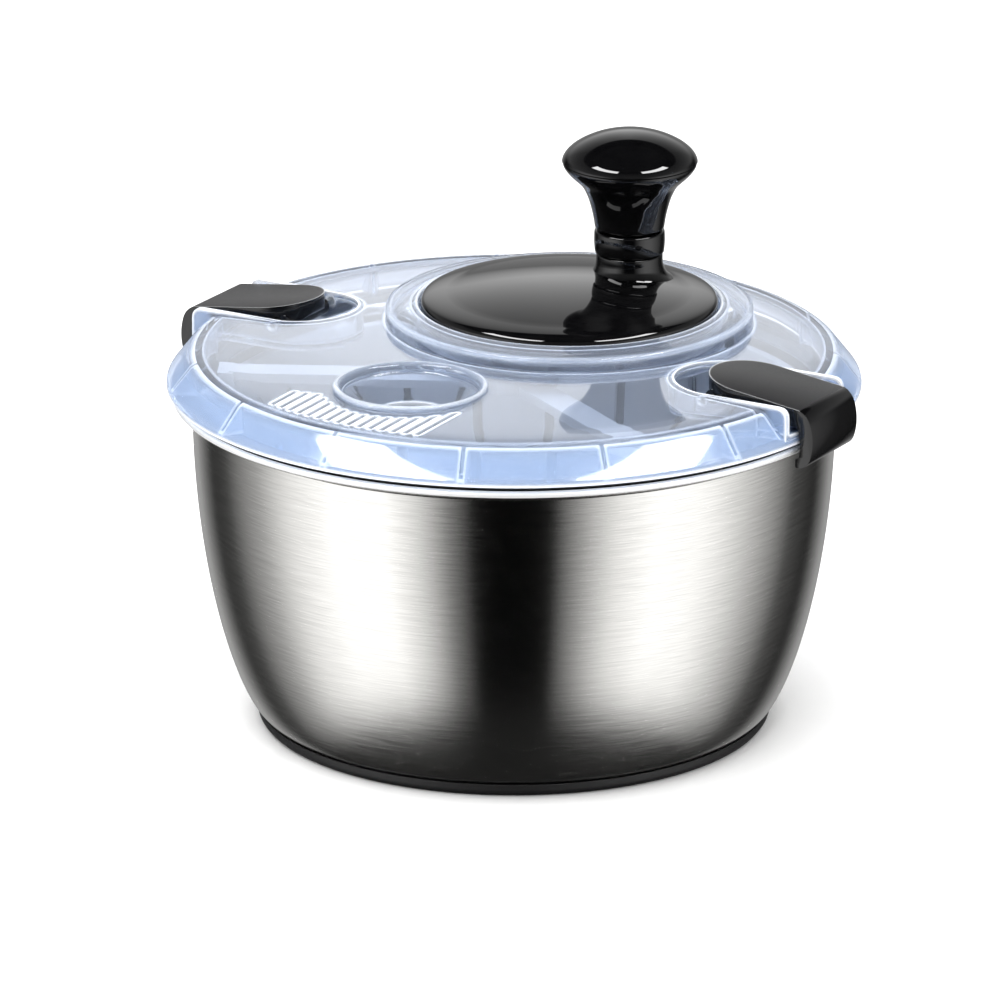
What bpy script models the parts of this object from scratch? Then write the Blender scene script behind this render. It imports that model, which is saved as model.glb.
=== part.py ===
"""Salad spinner: steel bowl, strainer basket, clear lid with an offset crank, and two snap latches.

Lengths in this file are millimetres, and MM turns them into Blender's metres where a mesh is made.
The table is z = 0, +Z is up, and the Z axis is the axis of the bowl, the basket and the lid. The
front is -Y. Each moving group hangs from an empty that stands on the group's joint axis.
"""

import math

import bmesh
import bpy
from mathutils import Matrix, Vector

MM = 0.001

# Clearances
GAP = 0.3  # between two faces that touch on the real object
RUNNING = 0.3  # round a shaft that turns
SWING = 3.2  # between a latch and the walls of its pocket

# Overall sizes
LID_R = 131.0  # outer edge of the lid
RIM_Z = 131.9  # underside of the lid's edge, over the table
ROUND = 40  # sides of a large circle
MIDDLE_ROUND = 24  # sides of the knob, the post and the funnel
SMALL_ROUND = 16  # sides of a small circle

# Bowl and foot
STEEL = 0.8
PAD_FLOOR = 2.4  # thickness of the foot ring
PAD_HOLE_R = 62.0
BOWL_FOOT_R = 97.0
BOWL_MOUTH_R = LID_R - 9.6
BOWL_BOTTOM_Z = PAD_FLOOR + GAP + 0.1
BOWL_MOUTH_Z = RIM_Z - 7.9
BEAD_R = LID_R - 1.8  # outside of the rolled rim
GASKET_THICK = 1.4
BEAD_TOP_Z = RIM_Z - GASKET_THICK - 2 * GAP

# Pivot under the basket
STUD_R = 3.0
STUD_FLANGE_R = 9.0
STUD_TOP_Z = 15.5
PIVOT_BUSH_R = 6.5
BOSS_WALL = 3.1

# Basket
BASKET_WALL = 1.8
BASKET_FLOOR_Z = 17.8  # inside, at the wall
BASKET_RIM_Z = RIM_Z - 9.4
BASKET_R = LID_R - 19.5  # outside, just under the rim
WALL_SLOTS = 24
FLOOR_SLOTS = 12
SLOT_WIDE = 4.0

# Drive between the lid and the basket
ARM_ANGLES = (57.0, 177.0, -63.0)
LUG_HALF = 4.0
PRONG = 3.5
ARM_HALF = 6.0
ARM_THICK = 3.6
SPIDER_HUB_R = 17.0

# Lid
LID_WALL = 2.4
PLATE_Z = RIM_Z + 16.3  # top of the plate, at its centre
SKIRT_R = LID_R - 11.7  # ring that drops into the bowl
SKIRT_WALL = 1.9
WEB_COUNT = 15
WEB_FIRST = -98.8
WEB_THICK = 1.6

# Gears
MODULE = 1.25
RING_TEETH = 75
PINION_TEETH = 19
PRESSURE = math.radians(20)
BACKLASH = 0.3
CRANK_DISTANCE = MODULE * (RING_TEETH - PINION_TEETH) / 2
CRANK_DIRECTION = math.atan2(0.8, 0.6)
CRANK_X = CRANK_DISTANCE * math.cos(CRANK_DIRECTION)
CRANK_Y = CRANK_DISTANCE * math.sin(CRANK_DIRECTION)
RING_R = MODULE * RING_TEETH / 2
PINION_R = MODULE * PINION_TEETH / 2

# Drum that the crank disc turns in
RING_GEAR_R = RING_R + 6.725
DISC_SKIRT = 2.4
DISC_R = RING_GEAR_R + GAP + 0.1 + DISC_SKIRT
WELL_R = DISC_R + 1.0
DRUM_R = WELL_R + 12.6
DRUM_WALL = 2.0
FLOOR_Z = PLATE_Z - 4.4  # top of the drum's floor
DRUM_TOP_Z = FLOOR_Z + 10.8

# Shafts, bushes and the crank's bearing
SHAFT_R = 4.0
BUSH_WALL = 1.7
SPIGOT_R = 5.0
CRANK_BUSH_WALL = 2.65
SHAFT_BORE = SHAFT_R + RUNNING
SHAFT_BUSH_R = SHAFT_BORE + BUSH_WALL
CRANK_BORE = SPIGOT_R + RUNNING + 0.05
CRANK_BUSH_R = CRANK_BORE + CRANK_BUSH_WALL
CRANK_SCREW_R = 1.9
DISC_THICK = 2.6
DISC_SHOULDER = 10.4  # width of the disc's rounded edge
DOME_RISE = 8.4
DOME_CURVE = 0.0022  # fall from the middle, for each square millimetre of radius

# Crank post and knob
POST_OFFSET = (22.9, 15.0)  # from the crank's axis
POST_R = 12.7
NECK_R = 10.0
AXLE_R = 3.0
KNOB_BUSH_WALL = 1.85
KNOB_R = 25.8
KNOB_DOME = 11.8
COLLAR_Z = FLOOR_Z + 25.9
GRIP_Z = FLOOR_Z + 35.6
CAP_Z = FLOOR_Z + 61.7

# Feed funnel and drain comb, both on one radius of the lid
FEED_ANGLE = math.radians(-123.0)
FEED_R = LID_R - 60.5
FUNNEL_R = 29.0
FUNNEL_HOLE_R = 13.2
COMB_SLOTS = 15
COMB_PITCH = 4.63
COMB_WIDE = 2.2
COMB_FIRST = -35.0

# Latches
LATCH_ANGLES = {"right": math.radians(-30), "left": math.radians(150)}
LATCH_HALF = 17.4
LATCH_TIP_R = LID_R - 45.0  # inner end
LATCH_SHELL = 2.2
HINGE_R = LID_R - 38.0
HINGE_Z = RIM_Z + 11.3
HINGE_PIN_R = 1.5
BARREL_R = 3.4
POCKET_HALF = LATCH_HALF + SWING
POCKET_WALL = 2.2
POCKET_FLOOR_Z = RIM_Z + 4.4
POCKET_TIP_R = LID_R - 59.3  # inner end
POCKET_FLOOR = 2.0


# ---------------------------------------------------------------- scene and materials


def clear_scene():
    for obj in list(bpy.data.objects):
        bpy.data.objects.remove(obj, do_unlink=True)


def new_collection(name):
    made = bpy.data.collections.new(name)
    bpy.context.scene.collection.children.link(made)
    return made


def hex_colour(code):
    """An sRGB hex colour as linear red, green, blue and alpha."""
    parts = [int(code[i : i + 2], 16) / 255 for i in (0, 2, 4)]
    return [p / 12.92 if p <= 0.04045 else ((p + 0.055) / 1.055) ** 2.4 for p in parts] + [1]


def new_material(name, code, roughness, metallic=0.0, alpha=1.0):
    made = bpy.data.materials.new(name)
    made.use_nodes = True
    shader = made.node_tree.nodes["Principled BSDF"]
    shader.inputs["Base Color"].default_value = hex_colour(code)
    shader.inputs["Roughness"].default_value = roughness
    shader.inputs["Metallic"].default_value = metallic
    shader.inputs["Alpha"].default_value = alpha
    return made


clear_scene()
PIECES = new_collection("salad_spinner")
CUTTERS = new_collection("cutters")
STEEL_FINISH = new_material("brushed_stainless_steel", "C9CBCC", 0.28, 1.0)
TURNED_STEEL = new_material("turned_steel", "B9BCBF", 0.3, 1.0)
CLEAR = new_material("clear_styrene", "C5D6F2", 0.08, 0.0, 0.45)
BLACK_GLOSS = new_material("gloss_black_abs", "0C0C0E", 0.12)
BLACK_SATIN = new_material("satin_black_abs", "2A2A2C", 0.35)
SILICONE = new_material("black_silicone", "121213", 0.6)
FROSTED = new_material("frosted_polypropylene", "DDE4EA", 0.4, 0.0, 0.85)
ACETAL = new_material("white_acetal", "E8E6DF", 0.35)


# ---------------------------------------------------------------- empties, one for each body


def new_frame(name, place=(0.0, 0.0, 0.0), turn=0.0, parent=None):
    """An empty at a place in millimetres under its parent, turned about Z."""
    empty = bpy.data.objects.new(name, None)
    empty.location = Vector(place) * MM
    empty.rotation_euler = (0, 0, turn)
    empty.parent = parent
    PIECES.objects.link(empty)
    return empty


BOWL_FRAME = new_frame("bowl_frame")
BASKET_AXIS = new_frame("basket_axis", parent=BOWL_FRAME)
LID_FRAME = new_frame("lid_frame", parent=BOWL_FRAME)
DRIVE_AXIS = new_frame("drive_axis", parent=LID_FRAME)
CRANK_AXIS = new_frame("crank_axis", (CRANK_X, CRANK_Y, 0), parent=LID_FRAME)
KNOB_AXIS = new_frame("knob_axis", (*POST_OFFSET, 0), parent=CRANK_AXIS)
FUNNEL_FRAME = new_frame(
    "funnel_frame", (FEED_R * math.cos(FEED_ANGLE), FEED_R * math.sin(FEED_ANGLE), 0), parent=LID_FRAME
)
LATCH_AXES = {
    side: new_frame(
        f"{side}_latch_axis",
        (HINGE_R * math.cos(angle), HINGE_R * math.sin(angle), HINGE_Z),
        angle,
        LID_FRAME,
    )
    for side, angle in LATCH_ANGLES.items()
}


# ---------------------------------------------------------------- shapes


def place(obj, frame, material):
    """Puts an object in the parts' collection, under its body's frame, with its finish."""
    for home in list(obj.users_collection):
        home.objects.unlink(obj)
    PIECES.objects.link(obj)
    obj.parent = frame
    obj.data.materials.clear()
    obj.data.materials.append(material)
    return obj


def smooth(obj):
    obj.data.shade_smooth()
    obj.data.set_sharp_from_angle(angle=math.radians(35))
    return obj


def clockwise(points):
    """The points so that the outline runs down its outer side, top to bottom."""
    area = sum(a[0] * b[1] - b[0] * a[1] for a, b in zip(points, points[1:] + points[:1]))
    return points if area < 0 else points[::-1]


def turned(name, profile, frame, material, sides=ROUND):
    """A piece turned from (radius, height) points. One that starts and ends on the axis is solid there."""
    points = clockwise(profile)
    mesh = bpy.data.meshes.new(name)
    solid = profile[0][0] == 0 and profile[-1][0] == 0
    edges = [(i, i + 1) for i in range(len(points) - 1)]
    if not solid:
        edges.append((len(points) - 1, 0))
    mesh.from_pydata([(r * MM, 0, z * MM) for r, z in points], edges, [])
    obj = bpy.data.objects.new(name, mesh)
    screw = obj.modifiers.new("turn", "SCREW")
    screw.steps = screw.render_steps = sides
    screw.use_merge_vertices = True
    screw.merge_threshold = 0.00001
    return smooth(baked(place(obj, frame, material)))


def baked(obj):
    """The object with its modifiers applied, its doubles merged and its faces pointing out."""
    bpy.context.view_layer.update()
    graph = bpy.context.evaluated_depsgraph_get()
    mesh = bpy.data.meshes.new_from_object(obj.evaluated_get(graph))
    shape = bmesh.new()
    shape.from_mesh(mesh)
    bmesh.ops.remove_doubles(shape, verts=shape.verts, dist=0.000001)
    bmesh.ops.recalc_face_normals(shape, faces=shape.faces)
    shape.to_mesh(mesh)
    shape.free()
    if obj.type != "MESH":
        flat = obj
        obj = bpy.data.objects.new(flat.name + "_solid", mesh)
        obj.location, obj.rotation_euler = flat.location, flat.rotation_euler
        bpy.data.objects.remove(flat)
        return obj
    obj.modifiers.clear()
    obj.data = mesh
    return obj


def extruded(name, outlines, low, high, frame, material):
    """A flat outline, with any holes in it, extruded from one height to another."""
    curve = bpy.data.curves.new(name, "CURVE")
    curve.dimensions = "2D"
    curve.fill_mode = "BOTH"
    curve.extrude = (high - low) / 2 * MM
    for outline in outlines:
        spline = curve.splines.new("POLY")
        spline.points.add(len(outline) - 1)
        for point, (x, y) in zip(spline.points, outline):
            point.co = (x * MM, y * MM, 0, 1)
        spline.use_cyclic_u = True
    flat = bpy.data.objects.new(name, curve)
    CUTTERS.objects.link(flat)
    obj = baked(flat)
    obj.name = name
    obj.data.transform(Matrix.Translation((0, 0, (high + low) / 2 * MM)))
    return place(obj, frame, material)


def side_extruded(name, outline, half, frame, material):
    """An (outward, height) outline extruded sideways, half the width each way."""
    obj = extruded(name, [outline], -half, half, frame, material)
    obj.data.transform(Matrix.Rotation(math.radians(90), 4, "X"))
    return obj


def blocks(name, boxes, frame, material=None):
    """Boxes as one object: each is its low corner, its high corner and its turn about Z."""
    shape = bmesh.new()
    for low, high, turn in boxes:
        size = [(b - a) * MM for a, b in zip(low, high)]
        middle = Vector([(a + b) / 2 * MM for a, b in zip(low, high)])
        spot = Matrix.Rotation(turn, 4, "Z") @ Matrix.Translation(middle) @ Matrix.Diagonal((*size, 1))
        bmesh.ops.create_cube(shape, size=1, matrix=spot)
    mesh = bpy.data.meshes.new(name)
    shape.to_mesh(mesh)
    shape.free()
    return place(bpy.data.objects.new(name, mesh), frame, material or BLACK_SATIN)


def cross_cylinder(name, radius, half, frame, material, spot=(0.0, 0.0)):
    """A cylinder that lies sideways, along Y, at an (outward, height) spot."""
    shape = bmesh.new()
    bmesh.ops.create_cone(
        shape,
        cap_ends=True,
        segments=SMALL_ROUND,
        radius1=radius * MM,
        radius2=radius * MM,
        depth=2 * half * MM,
        matrix=Matrix.Translation((spot[0] * MM, 0, spot[1] * MM)) @ Matrix.Rotation(math.radians(90), 4, "X"),
    )
    mesh = bpy.data.meshes.new(name)
    shape.to_mesh(mesh)
    shape.free()
    return smooth(place(bpy.data.objects.new(name, mesh), frame, material))


def combine(target, operation, *tools):
    """A Boolean with each tool in turn. The tools move to the cutters' collection."""
    for tool in tools:
        modifier = target.modifiers.new(operation.lower(), "BOOLEAN")
        modifier.operation = operation
        modifier.solver = "EXACT"
        modifier.object = tool
        tool.hide_render = True
        tool.display_type = "WIRE"
        PIECES.objects.unlink(tool)
        CUTTERS.objects.link(tool)
    return target


def ring(inner, outer, low, high):
    """The section of a plain ring."""
    return [(inner, high), (outer, high), (outer, low), (inner, low)]


def circle(radius, sides=ROUND, turn=0.0):
    steps = [turn + 2 * math.pi * i / sides for i in range(sides)]
    return [(radius * math.cos(a), radius * math.sin(a)) for a in steps]


def tongue(half, end_centre, outer, steps=10):
    """The plan of a strip along +X, with a round end towards the axis."""
    angles = [math.radians(90 + 180 * i / steps) for i in range(steps + 1)]
    end = [(end_centre + half * math.cos(a), half * math.sin(a)) for a in angles]
    return [(outer, half)] + end + [(outer, -half)]


def wall_offset(points, thick):
    """Points moved by a wall's thickness towards the inside of a vessel."""
    moved = []
    for i, point in enumerate(points):
        before, after = points[max(i - 1, 0)], points[min(i + 1, len(points) - 1)]
        run, rise = after[0] - before[0], after[1] - before[1]
        length = math.hypot(run, rise)
        moved.append((point[0] - thick * rise / length, point[1] + thick * run / length))
    return moved


# ---------------------------------------------------------------- bowl


def bowl_side(steps=7):
    """The bowl's outside, from its foot up to its mouth: steep at first, then nearly upright."""
    foot_z = BOWL_BOTTOM_Z + 2.7
    found = []
    for i in range(1, steps + 1):
        t = i / steps
        t = t * t  # closer points where the wall curves most
        rise = (1 - (1 - t) ** 2) ** 0.72
        found.append((BOWL_FOOT_R + (BOWL_MOUTH_R - BOWL_FOOT_R) * rise, foot_z + (BOWL_MOUTH_Z - foot_z) * t))
    return found


def make_bowl():
    z = BOWL_BOTTOM_Z
    foot = [(BOWL_FOOT_R - 9, z), (BOWL_FOOT_R - 5, z + 0.3), (BOWL_FOOT_R - 2, z + 1.2), (BOWL_FOOT_R, z + 2.7)]
    outside = [(0, z)] + foot + bowl_side()
    inside = wall_offset(outside, STEEL)
    inside[0] = (0, z + STEEL)
    mouth_z, top = BOWL_MOUTH_Z, BEAD_TOP_Z
    rolled_rim = [
        (BOWL_MOUTH_R + 1.6, mouth_z + 2.3),
        (BEAD_R - 1.5, top - 3.0),
        (BEAD_R, top - 1.9),
        (BEAD_R, top - 1.0),
        (BEAD_R - 1.5, top),
        (BOWL_MOUTH_R + 2.9, top),
        (BOWL_MOUTH_R + 0.1, top - 2.9),
    ]
    return turned("bowl", outside + rolled_rim + inside[::-1], BOWL_FRAME, STEEL_FINISH)


def make_base_pad():
    r = BOWL_FOOT_R
    section = [
        (PAD_HOLE_R, PAD_FLOOR),
        (r - 9, PAD_FLOOR),
        (r - 4.8, PAD_FLOOR + 0.3),
        (r - 1.7, PAD_FLOOR + 1.2),
        (r - 0.1, PAD_FLOOR + 2.5),
        (r + 0.6, PAD_FLOOR + 2.5),
        (r + 0.2, PAD_FLOOR - 0.4),
        (r - 1.5, 0),
        (PAD_HOLE_R, 0),
    ]
    return turned("base_pad", section, BOWL_FRAME, SILICONE)


def make_pivot_stud():
    seat = BOWL_BOTTOM_Z + STEEL + GAP
    section = [
        (0, STUD_TOP_Z),
        (STUD_R * 0.5, STUD_TOP_Z - 0.3),
        (STUD_R, STUD_TOP_Z - 1.8),
        (STUD_R, seat + 2.2),
        (STUD_R + 1.2, seat + 1.3),
        (STUD_FLANGE_R, seat + 1.1),
        (STUD_FLANGE_R, seat),
        (0, seat),
    ]
    return turned("pivot_stud", section, BOWL_FRAME, TURNED_STEEL, SMALL_ROUND)


# ---------------------------------------------------------------- basket


def basket_section():
    boss = PIVOT_BUSH_R + GAP + 0.1
    foot_r, top, floor = BOWL_FOOT_R + 0.5, BASKET_RIM_Z, BASKET_FLOOR_Z
    flare, height = BASKET_R - foot_r, top - floor
    curve = ((0, 0.02), (3.5 / 14, 0.12), (9 / 14, 0.4), (12 / 14, 0.69), (1, 0.976))
    outside = [(foot_r + flare * out, floor + height * up) for out, up in curve]
    inside = [(r - BASKET_WALL, z) for r, z in outside]
    return (
        [(0, floor + 3.7), (boss + BOSS_WALL, floor + 3.7), (boss + BOSS_WALL + 2, floor + 2.2)]
        + [(foot_r - 5, floor)]
        + inside
        + [(BASKET_R - 1.0, top), (BASKET_R + 2.7, top), (BASKET_R + 2.7, top - 1.6)]
        + outside[::-1]
        + [(foot_r - 2.5, floor - BASKET_WALL), (boss + BOSS_WALL, floor + 0.4)]
        + [(boss + BOSS_WALL, STUD_TOP_Z - 7.5), (boss, STUD_TOP_Z - 7.5), (boss, STUD_TOP_Z + 3.9)]
        + [(0, STUD_TOP_Z + 3.9)]
    )


def basket_slots():
    """Cutters for the upright slots in the wall and the radial ones in the floor."""
    low, high = BASKET_FLOOR_Z + 16, BASKET_RIM_Z - 16
    half = SLOT_WIDE / 2
    boxes = []
    for i in range(WALL_SLOTS):
        turn = 2 * math.pi * (i + 0.5) / WALL_SLOTS
        boxes.append(((BASKET_R - 30, -half, low), (BASKET_R + 10, half, high), turn))
    for i in range(FLOOR_SLOTS):
        turn = 2 * math.pi * (i + 0.5) / FLOOR_SLOTS
        low, high = BASKET_FLOOR_Z - 6, BASKET_FLOOR_Z + 6
        boxes.append(((30, -half, low), (BOWL_FOOT_R - 15.5, half, high), turn))
    return blocks("basket_slots", boxes, BASKET_AXIS)


def basket_lugs():
    """Three upright lugs on the rim, which the lid's drive arms push."""
    low, high = BASKET_RIM_Z - 1, BASKET_RIM_Z + 6.3
    turns = [math.radians(angle) for angle in ARM_ANGLES]
    boxes = [((BASKET_R - 0.6, -LUG_HALF, low), (BASKET_R + 1.6, LUG_HALF, high), turn) for turn in turns]
    return blocks("basket_lugs", boxes, BASKET_AXIS)


def make_basket():
    basket = turned("basket", basket_section(), BASKET_AXIS, FROSTED)
    combine(basket, "DIFFERENCE", basket_slots())
    return combine(basket, "UNION", basket_lugs())


def make_pivot_bush():
    bore = STUD_R + RUNNING + 0.1
    low, high = STUD_TOP_Z - 8, STUD_TOP_Z + 3.5
    section = [(0, high), (PIVOT_BUSH_R, high), (PIVOT_BUSH_R, low), (bore, low), (bore, STUD_TOP_Z + 0.4)]
    return turned("pivot_bush", section + [(0, STUD_TOP_Z + 0.4)], BASKET_AXIS, ACETAL, SMALL_ROUND)


# ---------------------------------------------------------------- lid


def lid_section():
    top, under = PLATE_Z, PLATE_Z - LID_WALL
    return [
        (0, top),
        (LID_R - 71, top - 0.2),
        (LID_R - 13, top - 2.6),
        (LID_R - 10, top - 3.2),
        (LID_R - 8.4, top - 4.2),
        (LID_R, RIM_Z + 1.3),
        (LID_R, RIM_Z),
        (LID_R - 1.6, RIM_Z),
        (LID_R - 1.8, RIM_Z + 1.1),
        (LID_R - 9.6, RIM_Z + 10.5),
        (SKIRT_R + 0.3, RIM_Z + 11.1),
        (SKIRT_R, BOWL_MOUTH_Z),
        (SKIRT_R - SKIRT_WALL, BOWL_MOUTH_Z),
        (SKIRT_R - SKIRT_WALL - 0.2, RIM_Z + 10.9),
        (0, under),
    ]


def drum_section():
    """The tray that the crank disc turns in: floor, well wall, ring top and outer wall."""
    floor, under, top = FLOOR_Z, FLOOR_Z - 2.2, DRUM_TOP_Z
    return [
        (0, floor),
        (WELL_R, floor),
        (WELL_R, top - 0.4),
        (WELL_R + 1, top),
        (DRUM_R - 1.2, top - 1.4),
        (DRUM_R, top - 2.4),
        (DRUM_R, under),
        (DRUM_R - DRUM_WALL, under),
        (DRUM_R - DRUM_WALL, top - 3.4),
        (WELL_R + DRUM_WALL, top - 2.2),
        (WELL_R + DRUM_WALL, under),
        (0, under),
    ]


def funnel_section():
    top = PLATE_Z + 0.8
    hole, r = FUNNEL_HOLE_R, FUNNEL_R
    return [
        (r - 2.4, top - 0.3),
        (r - 1.6, top + 0.1),
        (r - 0.5, top),
        (r, top - 0.8),
        (r - 0.6, top - 3.4),
        (hole + 3.2, top - 12.0),
        (hole + 1.4, top - 12.8),
        (hole, top - 12.8),
        (hole, top - 11.4),
        (hole + 2.0, top - 10.5),
        (r - 3.4, top - 2.6),
    ]


def comb_slots():
    """Cutters for the drain slots: parallel, from the funnel's edge out to near the lid's edge."""
    boxes = []
    for i in range(COMB_SLOTS):
        side = COMB_FIRST + COMB_PITCH * i
        round_funnel = math.sqrt(max((FUNNEL_R + 4.1) ** 2 - side**2, 0))
        inner = max(FEED_R + round_funnel, LID_R - 42 - 0.15 * side)
        outer = math.sqrt((LID_R - 15.2) ** 2 - side**2)
        low = (inner, side - COMB_WIDE / 2, PLATE_Z - 12)
        high = (outer, side + COMB_WIDE / 2, PLATE_Z + 8)
        boxes.append((low, high, FEED_ANGLE))
    return blocks("comb_slots", boxes, LID_FRAME)


def rim_web_angles():
    """The webs under the lid's sloping edge, but for the ones where a pocket is."""
    clear_of_latch = math.asin((POCKET_HALF + POCKET_WALL + 1) / LID_R)
    angles = [math.radians(WEB_FIRST + 360 / WEB_COUNT * i) for i in range(WEB_COUNT)]
    return [
        angle
        for angle in angles
        if all(math.cos(angle - latch) < math.cos(clear_of_latch) for latch in LATCH_ANGLES.values())
    ]


def rim_webs():
    shape = bmesh.new()
    outline = [
        (SKIRT_R - 0.8, RIM_Z + 0.1),
        (LID_R - 1.2, RIM_Z + 0.1),
        (LID_R - 9.2, RIM_Z + 11.1),
        (SKIRT_R - 0.8, RIM_Z + 11.6),
    ]
    for angle in rim_web_angles():
        web = side_extruded("web", outline, WEB_THICK / 2, LID_FRAME, CLEAR)
        web.data.transform(Matrix.Rotation(angle, 4, "Z"))
        shape.from_mesh(web.data)
        bpy.data.objects.remove(web)
    mesh = bpy.data.meshes.new("rim_webs")
    shape.to_mesh(mesh)
    shape.free()
    return place(bpy.data.objects.new("rim_webs", mesh), LID_FRAME, CLEAR)


def pocket_tools(side):
    """The pocket's outer body, the space inside it, and the bore for the hinge pin."""
    angle = LATCH_ANGLES[side]
    end = POCKET_TIP_R + POCKET_HALF
    outer_plan = tongue(POCKET_HALF + POCKET_WALL, end, LID_R - 0.5)
    inner_plan = tongue(POCKET_HALF, end, LID_R + 10)
    low = POCKET_FLOOR_Z - POCKET_FLOOR
    body = extruded(f"{side}_pocket_body", [outer_plan], low, PLATE_Z - 1.3, LID_FRAME, CLEAR)
    space = extruded(f"{side}_pocket_space", [inner_plan], POCKET_FLOOR_Z, PLATE_Z + 12, LID_FRAME, CLEAR)
    bore = cross_cylinder(
        f"{side}_hinge_bore",
        HINGE_PIN_R + GAP + 0.05,
        POCKET_HALF + POCKET_WALL + 3,
        LID_FRAME,
        CLEAR,
        (HINGE_R, HINGE_Z),
    )
    for tool in (body, space, bore):
        tool.rotation_euler.z = angle
    return body, space, bore


def boss(name, radius, low, frame):
    return turned(name, [(0, FLOOR_Z - 1), (radius, FLOOR_Z - 1), (radius, low), (0, low)], frame, CLEAR, SMALL_ROUND)


def bore(name, radius, frame):
    section = [(0, DRUM_TOP_Z), (radius, DRUM_TOP_Z), (radius, FLOOR_Z - 20), (0, FLOOR_Z - 20)]
    return turned(name, section, frame, CLEAR, SMALL_ROUND)


def hole(name, radius, frame):
    section = [(0, PLATE_Z + 20), (radius, PLATE_Z + 20), (radius, PLATE_Z - 20), (0, PLATE_Z - 20)]
    return turned(name, section, frame, CLEAR)


def make_lid():
    lid = turned("lid", lid_section(), LID_FRAME, CLEAR)
    combine(lid, "UNION", rim_webs())
    combine(lid, "DIFFERENCE", hole("drum_opening", DRUM_R - DRUM_WALL / 2, CRANK_AXIS))
    combine(lid, "UNION", turned("drum", drum_section(), CRANK_AXIS, CLEAR))
    combine(lid, "DIFFERENCE", hole("funnel_opening", FUNNEL_R - 1.5, FUNNEL_FRAME))
    combine(lid, "UNION", turned("funnel", funnel_section(), FUNNEL_FRAME, CLEAR, MIDDLE_ROUND))
    combine(lid, "DIFFERENCE", comb_slots())
    for side in LATCH_ANGLES:
        body, space, pin_bore = pocket_tools(side)
        combine(lid, "UNION", body)
        combine(lid, "DIFFERENCE", space, pin_bore)
    combine(lid, "UNION", boss("shaft_boss", SHAFT_BUSH_R + 3, FLOOR_Z - 5.8, DRIVE_AXIS))
    combine(lid, "UNION", boss("crank_boss", CRANK_BUSH_R + 3, FLOOR_Z - 5.0, CRANK_AXIS))
    combine(lid, "DIFFERENCE", bore("shaft_bush_bore", SHAFT_BUSH_R + GAP, DRIVE_AXIS))
    return combine(lid, "DIFFERENCE", bore("crank_bush_bore", CRANK_BUSH_R + GAP, CRANK_AXIS))


def make_lid_gasket():
    low = BEAD_TOP_Z + GAP
    section = ring(SKIRT_R + 0.9, LID_R - 3.2, low, low + GASKET_THICK)
    return turned("lid_gasket", section, LID_FRAME, SILICONE)


# ---------------------------------------------------------------- bushes in the drum's floor


def flanged_bush(name, inner, outer, flange_r, low, flange_low, high, frame):
    section = [
        (inner, high),
        (flange_r, high),
        (flange_r, flange_low),
        (outer, flange_low),
        (outer, low),
        (inner, low),
    ]
    return turned(name, section, frame, ACETAL, SMALL_ROUND)


def make_bushes():
    seat = FLOOR_Z + GAP
    flanged_bush("shaft_bush", SHAFT_BORE, SHAFT_BUSH_R, SHAFT_BUSH_R + 2, FLOOR_Z - 6.2, seat, seat + 1.1, DRIVE_AXIS)
    flanged_bush("crank_bush", CRANK_BORE, CRANK_BUSH_R, CRANK_BUSH_R + 3, FLOOR_Z - 5.2, seat, seat + 2.7, CRANK_AXIS)


# ---------------------------------------------------------------- gears


def involute(angle):
    return math.tan(angle) - angle


def flank_angle(teeth, radius, slack):
    """Half the angle of a tooth, or of the space in an internal gear, at a radius."""
    pitch_r = MODULE * teeth / 2
    base = pitch_r * math.cos(PRESSURE)
    pressure = math.acos(min(base / radius, 1))
    return math.pi / (2 * teeth) + slack / (2 * pitch_r) + involute(PRESSURE) - involute(pressure)


def gear_outline(teeth, low_r, high_r, slack, turn, steps):
    """An outline of involute teeth between two radii, with one tooth centred on the angle turn."""
    base = MODULE * teeth / 2 * math.cos(PRESSURE)
    start = max(low_r, base)
    radii = [start + (high_r - start) * i / (steps - 1) for i in range(steps)]
    rising = [(low_r, flank_angle(teeth, start, slack))] if start > low_r else []
    rising += [(radius, flank_angle(teeth, radius, slack)) for radius in radii]
    points = []
    for tooth in range(teeth):
        middle = turn + 2 * math.pi * tooth / teeth
        points += [(r * math.cos(middle - half), r * math.sin(middle - half)) for r, half in rising]
        points += [(r * math.cos(middle + half), r * math.sin(middle + half)) for r, half in rising[::-1]]
    return points


def make_ring_gear():
    mesh_angle = CRANK_DIRECTION + math.pi
    spaces = gear_outline(
        RING_TEETH, RING_R - 0.9 * MODULE, RING_R + 1.25 * MODULE, BACKLASH / 2, mesh_angle, 2
    )
    outlines = [circle(RING_GEAR_R, ROUND), spaces]
    return extruded("ring_gear", outlines, FLOOR_Z + 1.6, FLOOR_Z + 8.6, CRANK_AXIS, ACETAL)


def make_pinion():
    mesh_angle = CRANK_DIRECTION + math.pi
    teeth = gear_outline(
        PINION_TEETH, PINION_R - 1.25 * MODULE, PINION_R + MODULE, -BACKLASH / 2, mesh_angle, 3
    )
    outlines = [teeth, circle(SHAFT_BORE, SMALL_ROUND)]
    return extruded("pinion", outlines, FLOOR_Z + 1.7, FLOOR_Z + 8.4, DRIVE_AXIS, ACETAL)


# ---------------------------------------------------------------- drive to the basket


def make_drive_shaft():
    section = [(0, FLOOR_Z + 8.2), (SHAFT_R, FLOOR_Z + 8.2), (SHAFT_R, FLOOR_Z - 17.3), (0, FLOOR_Z - 17.3)]
    return turned("drive_shaft", section, DRIVE_AXIS, TURNED_STEEL, SMALL_ROUND)


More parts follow.
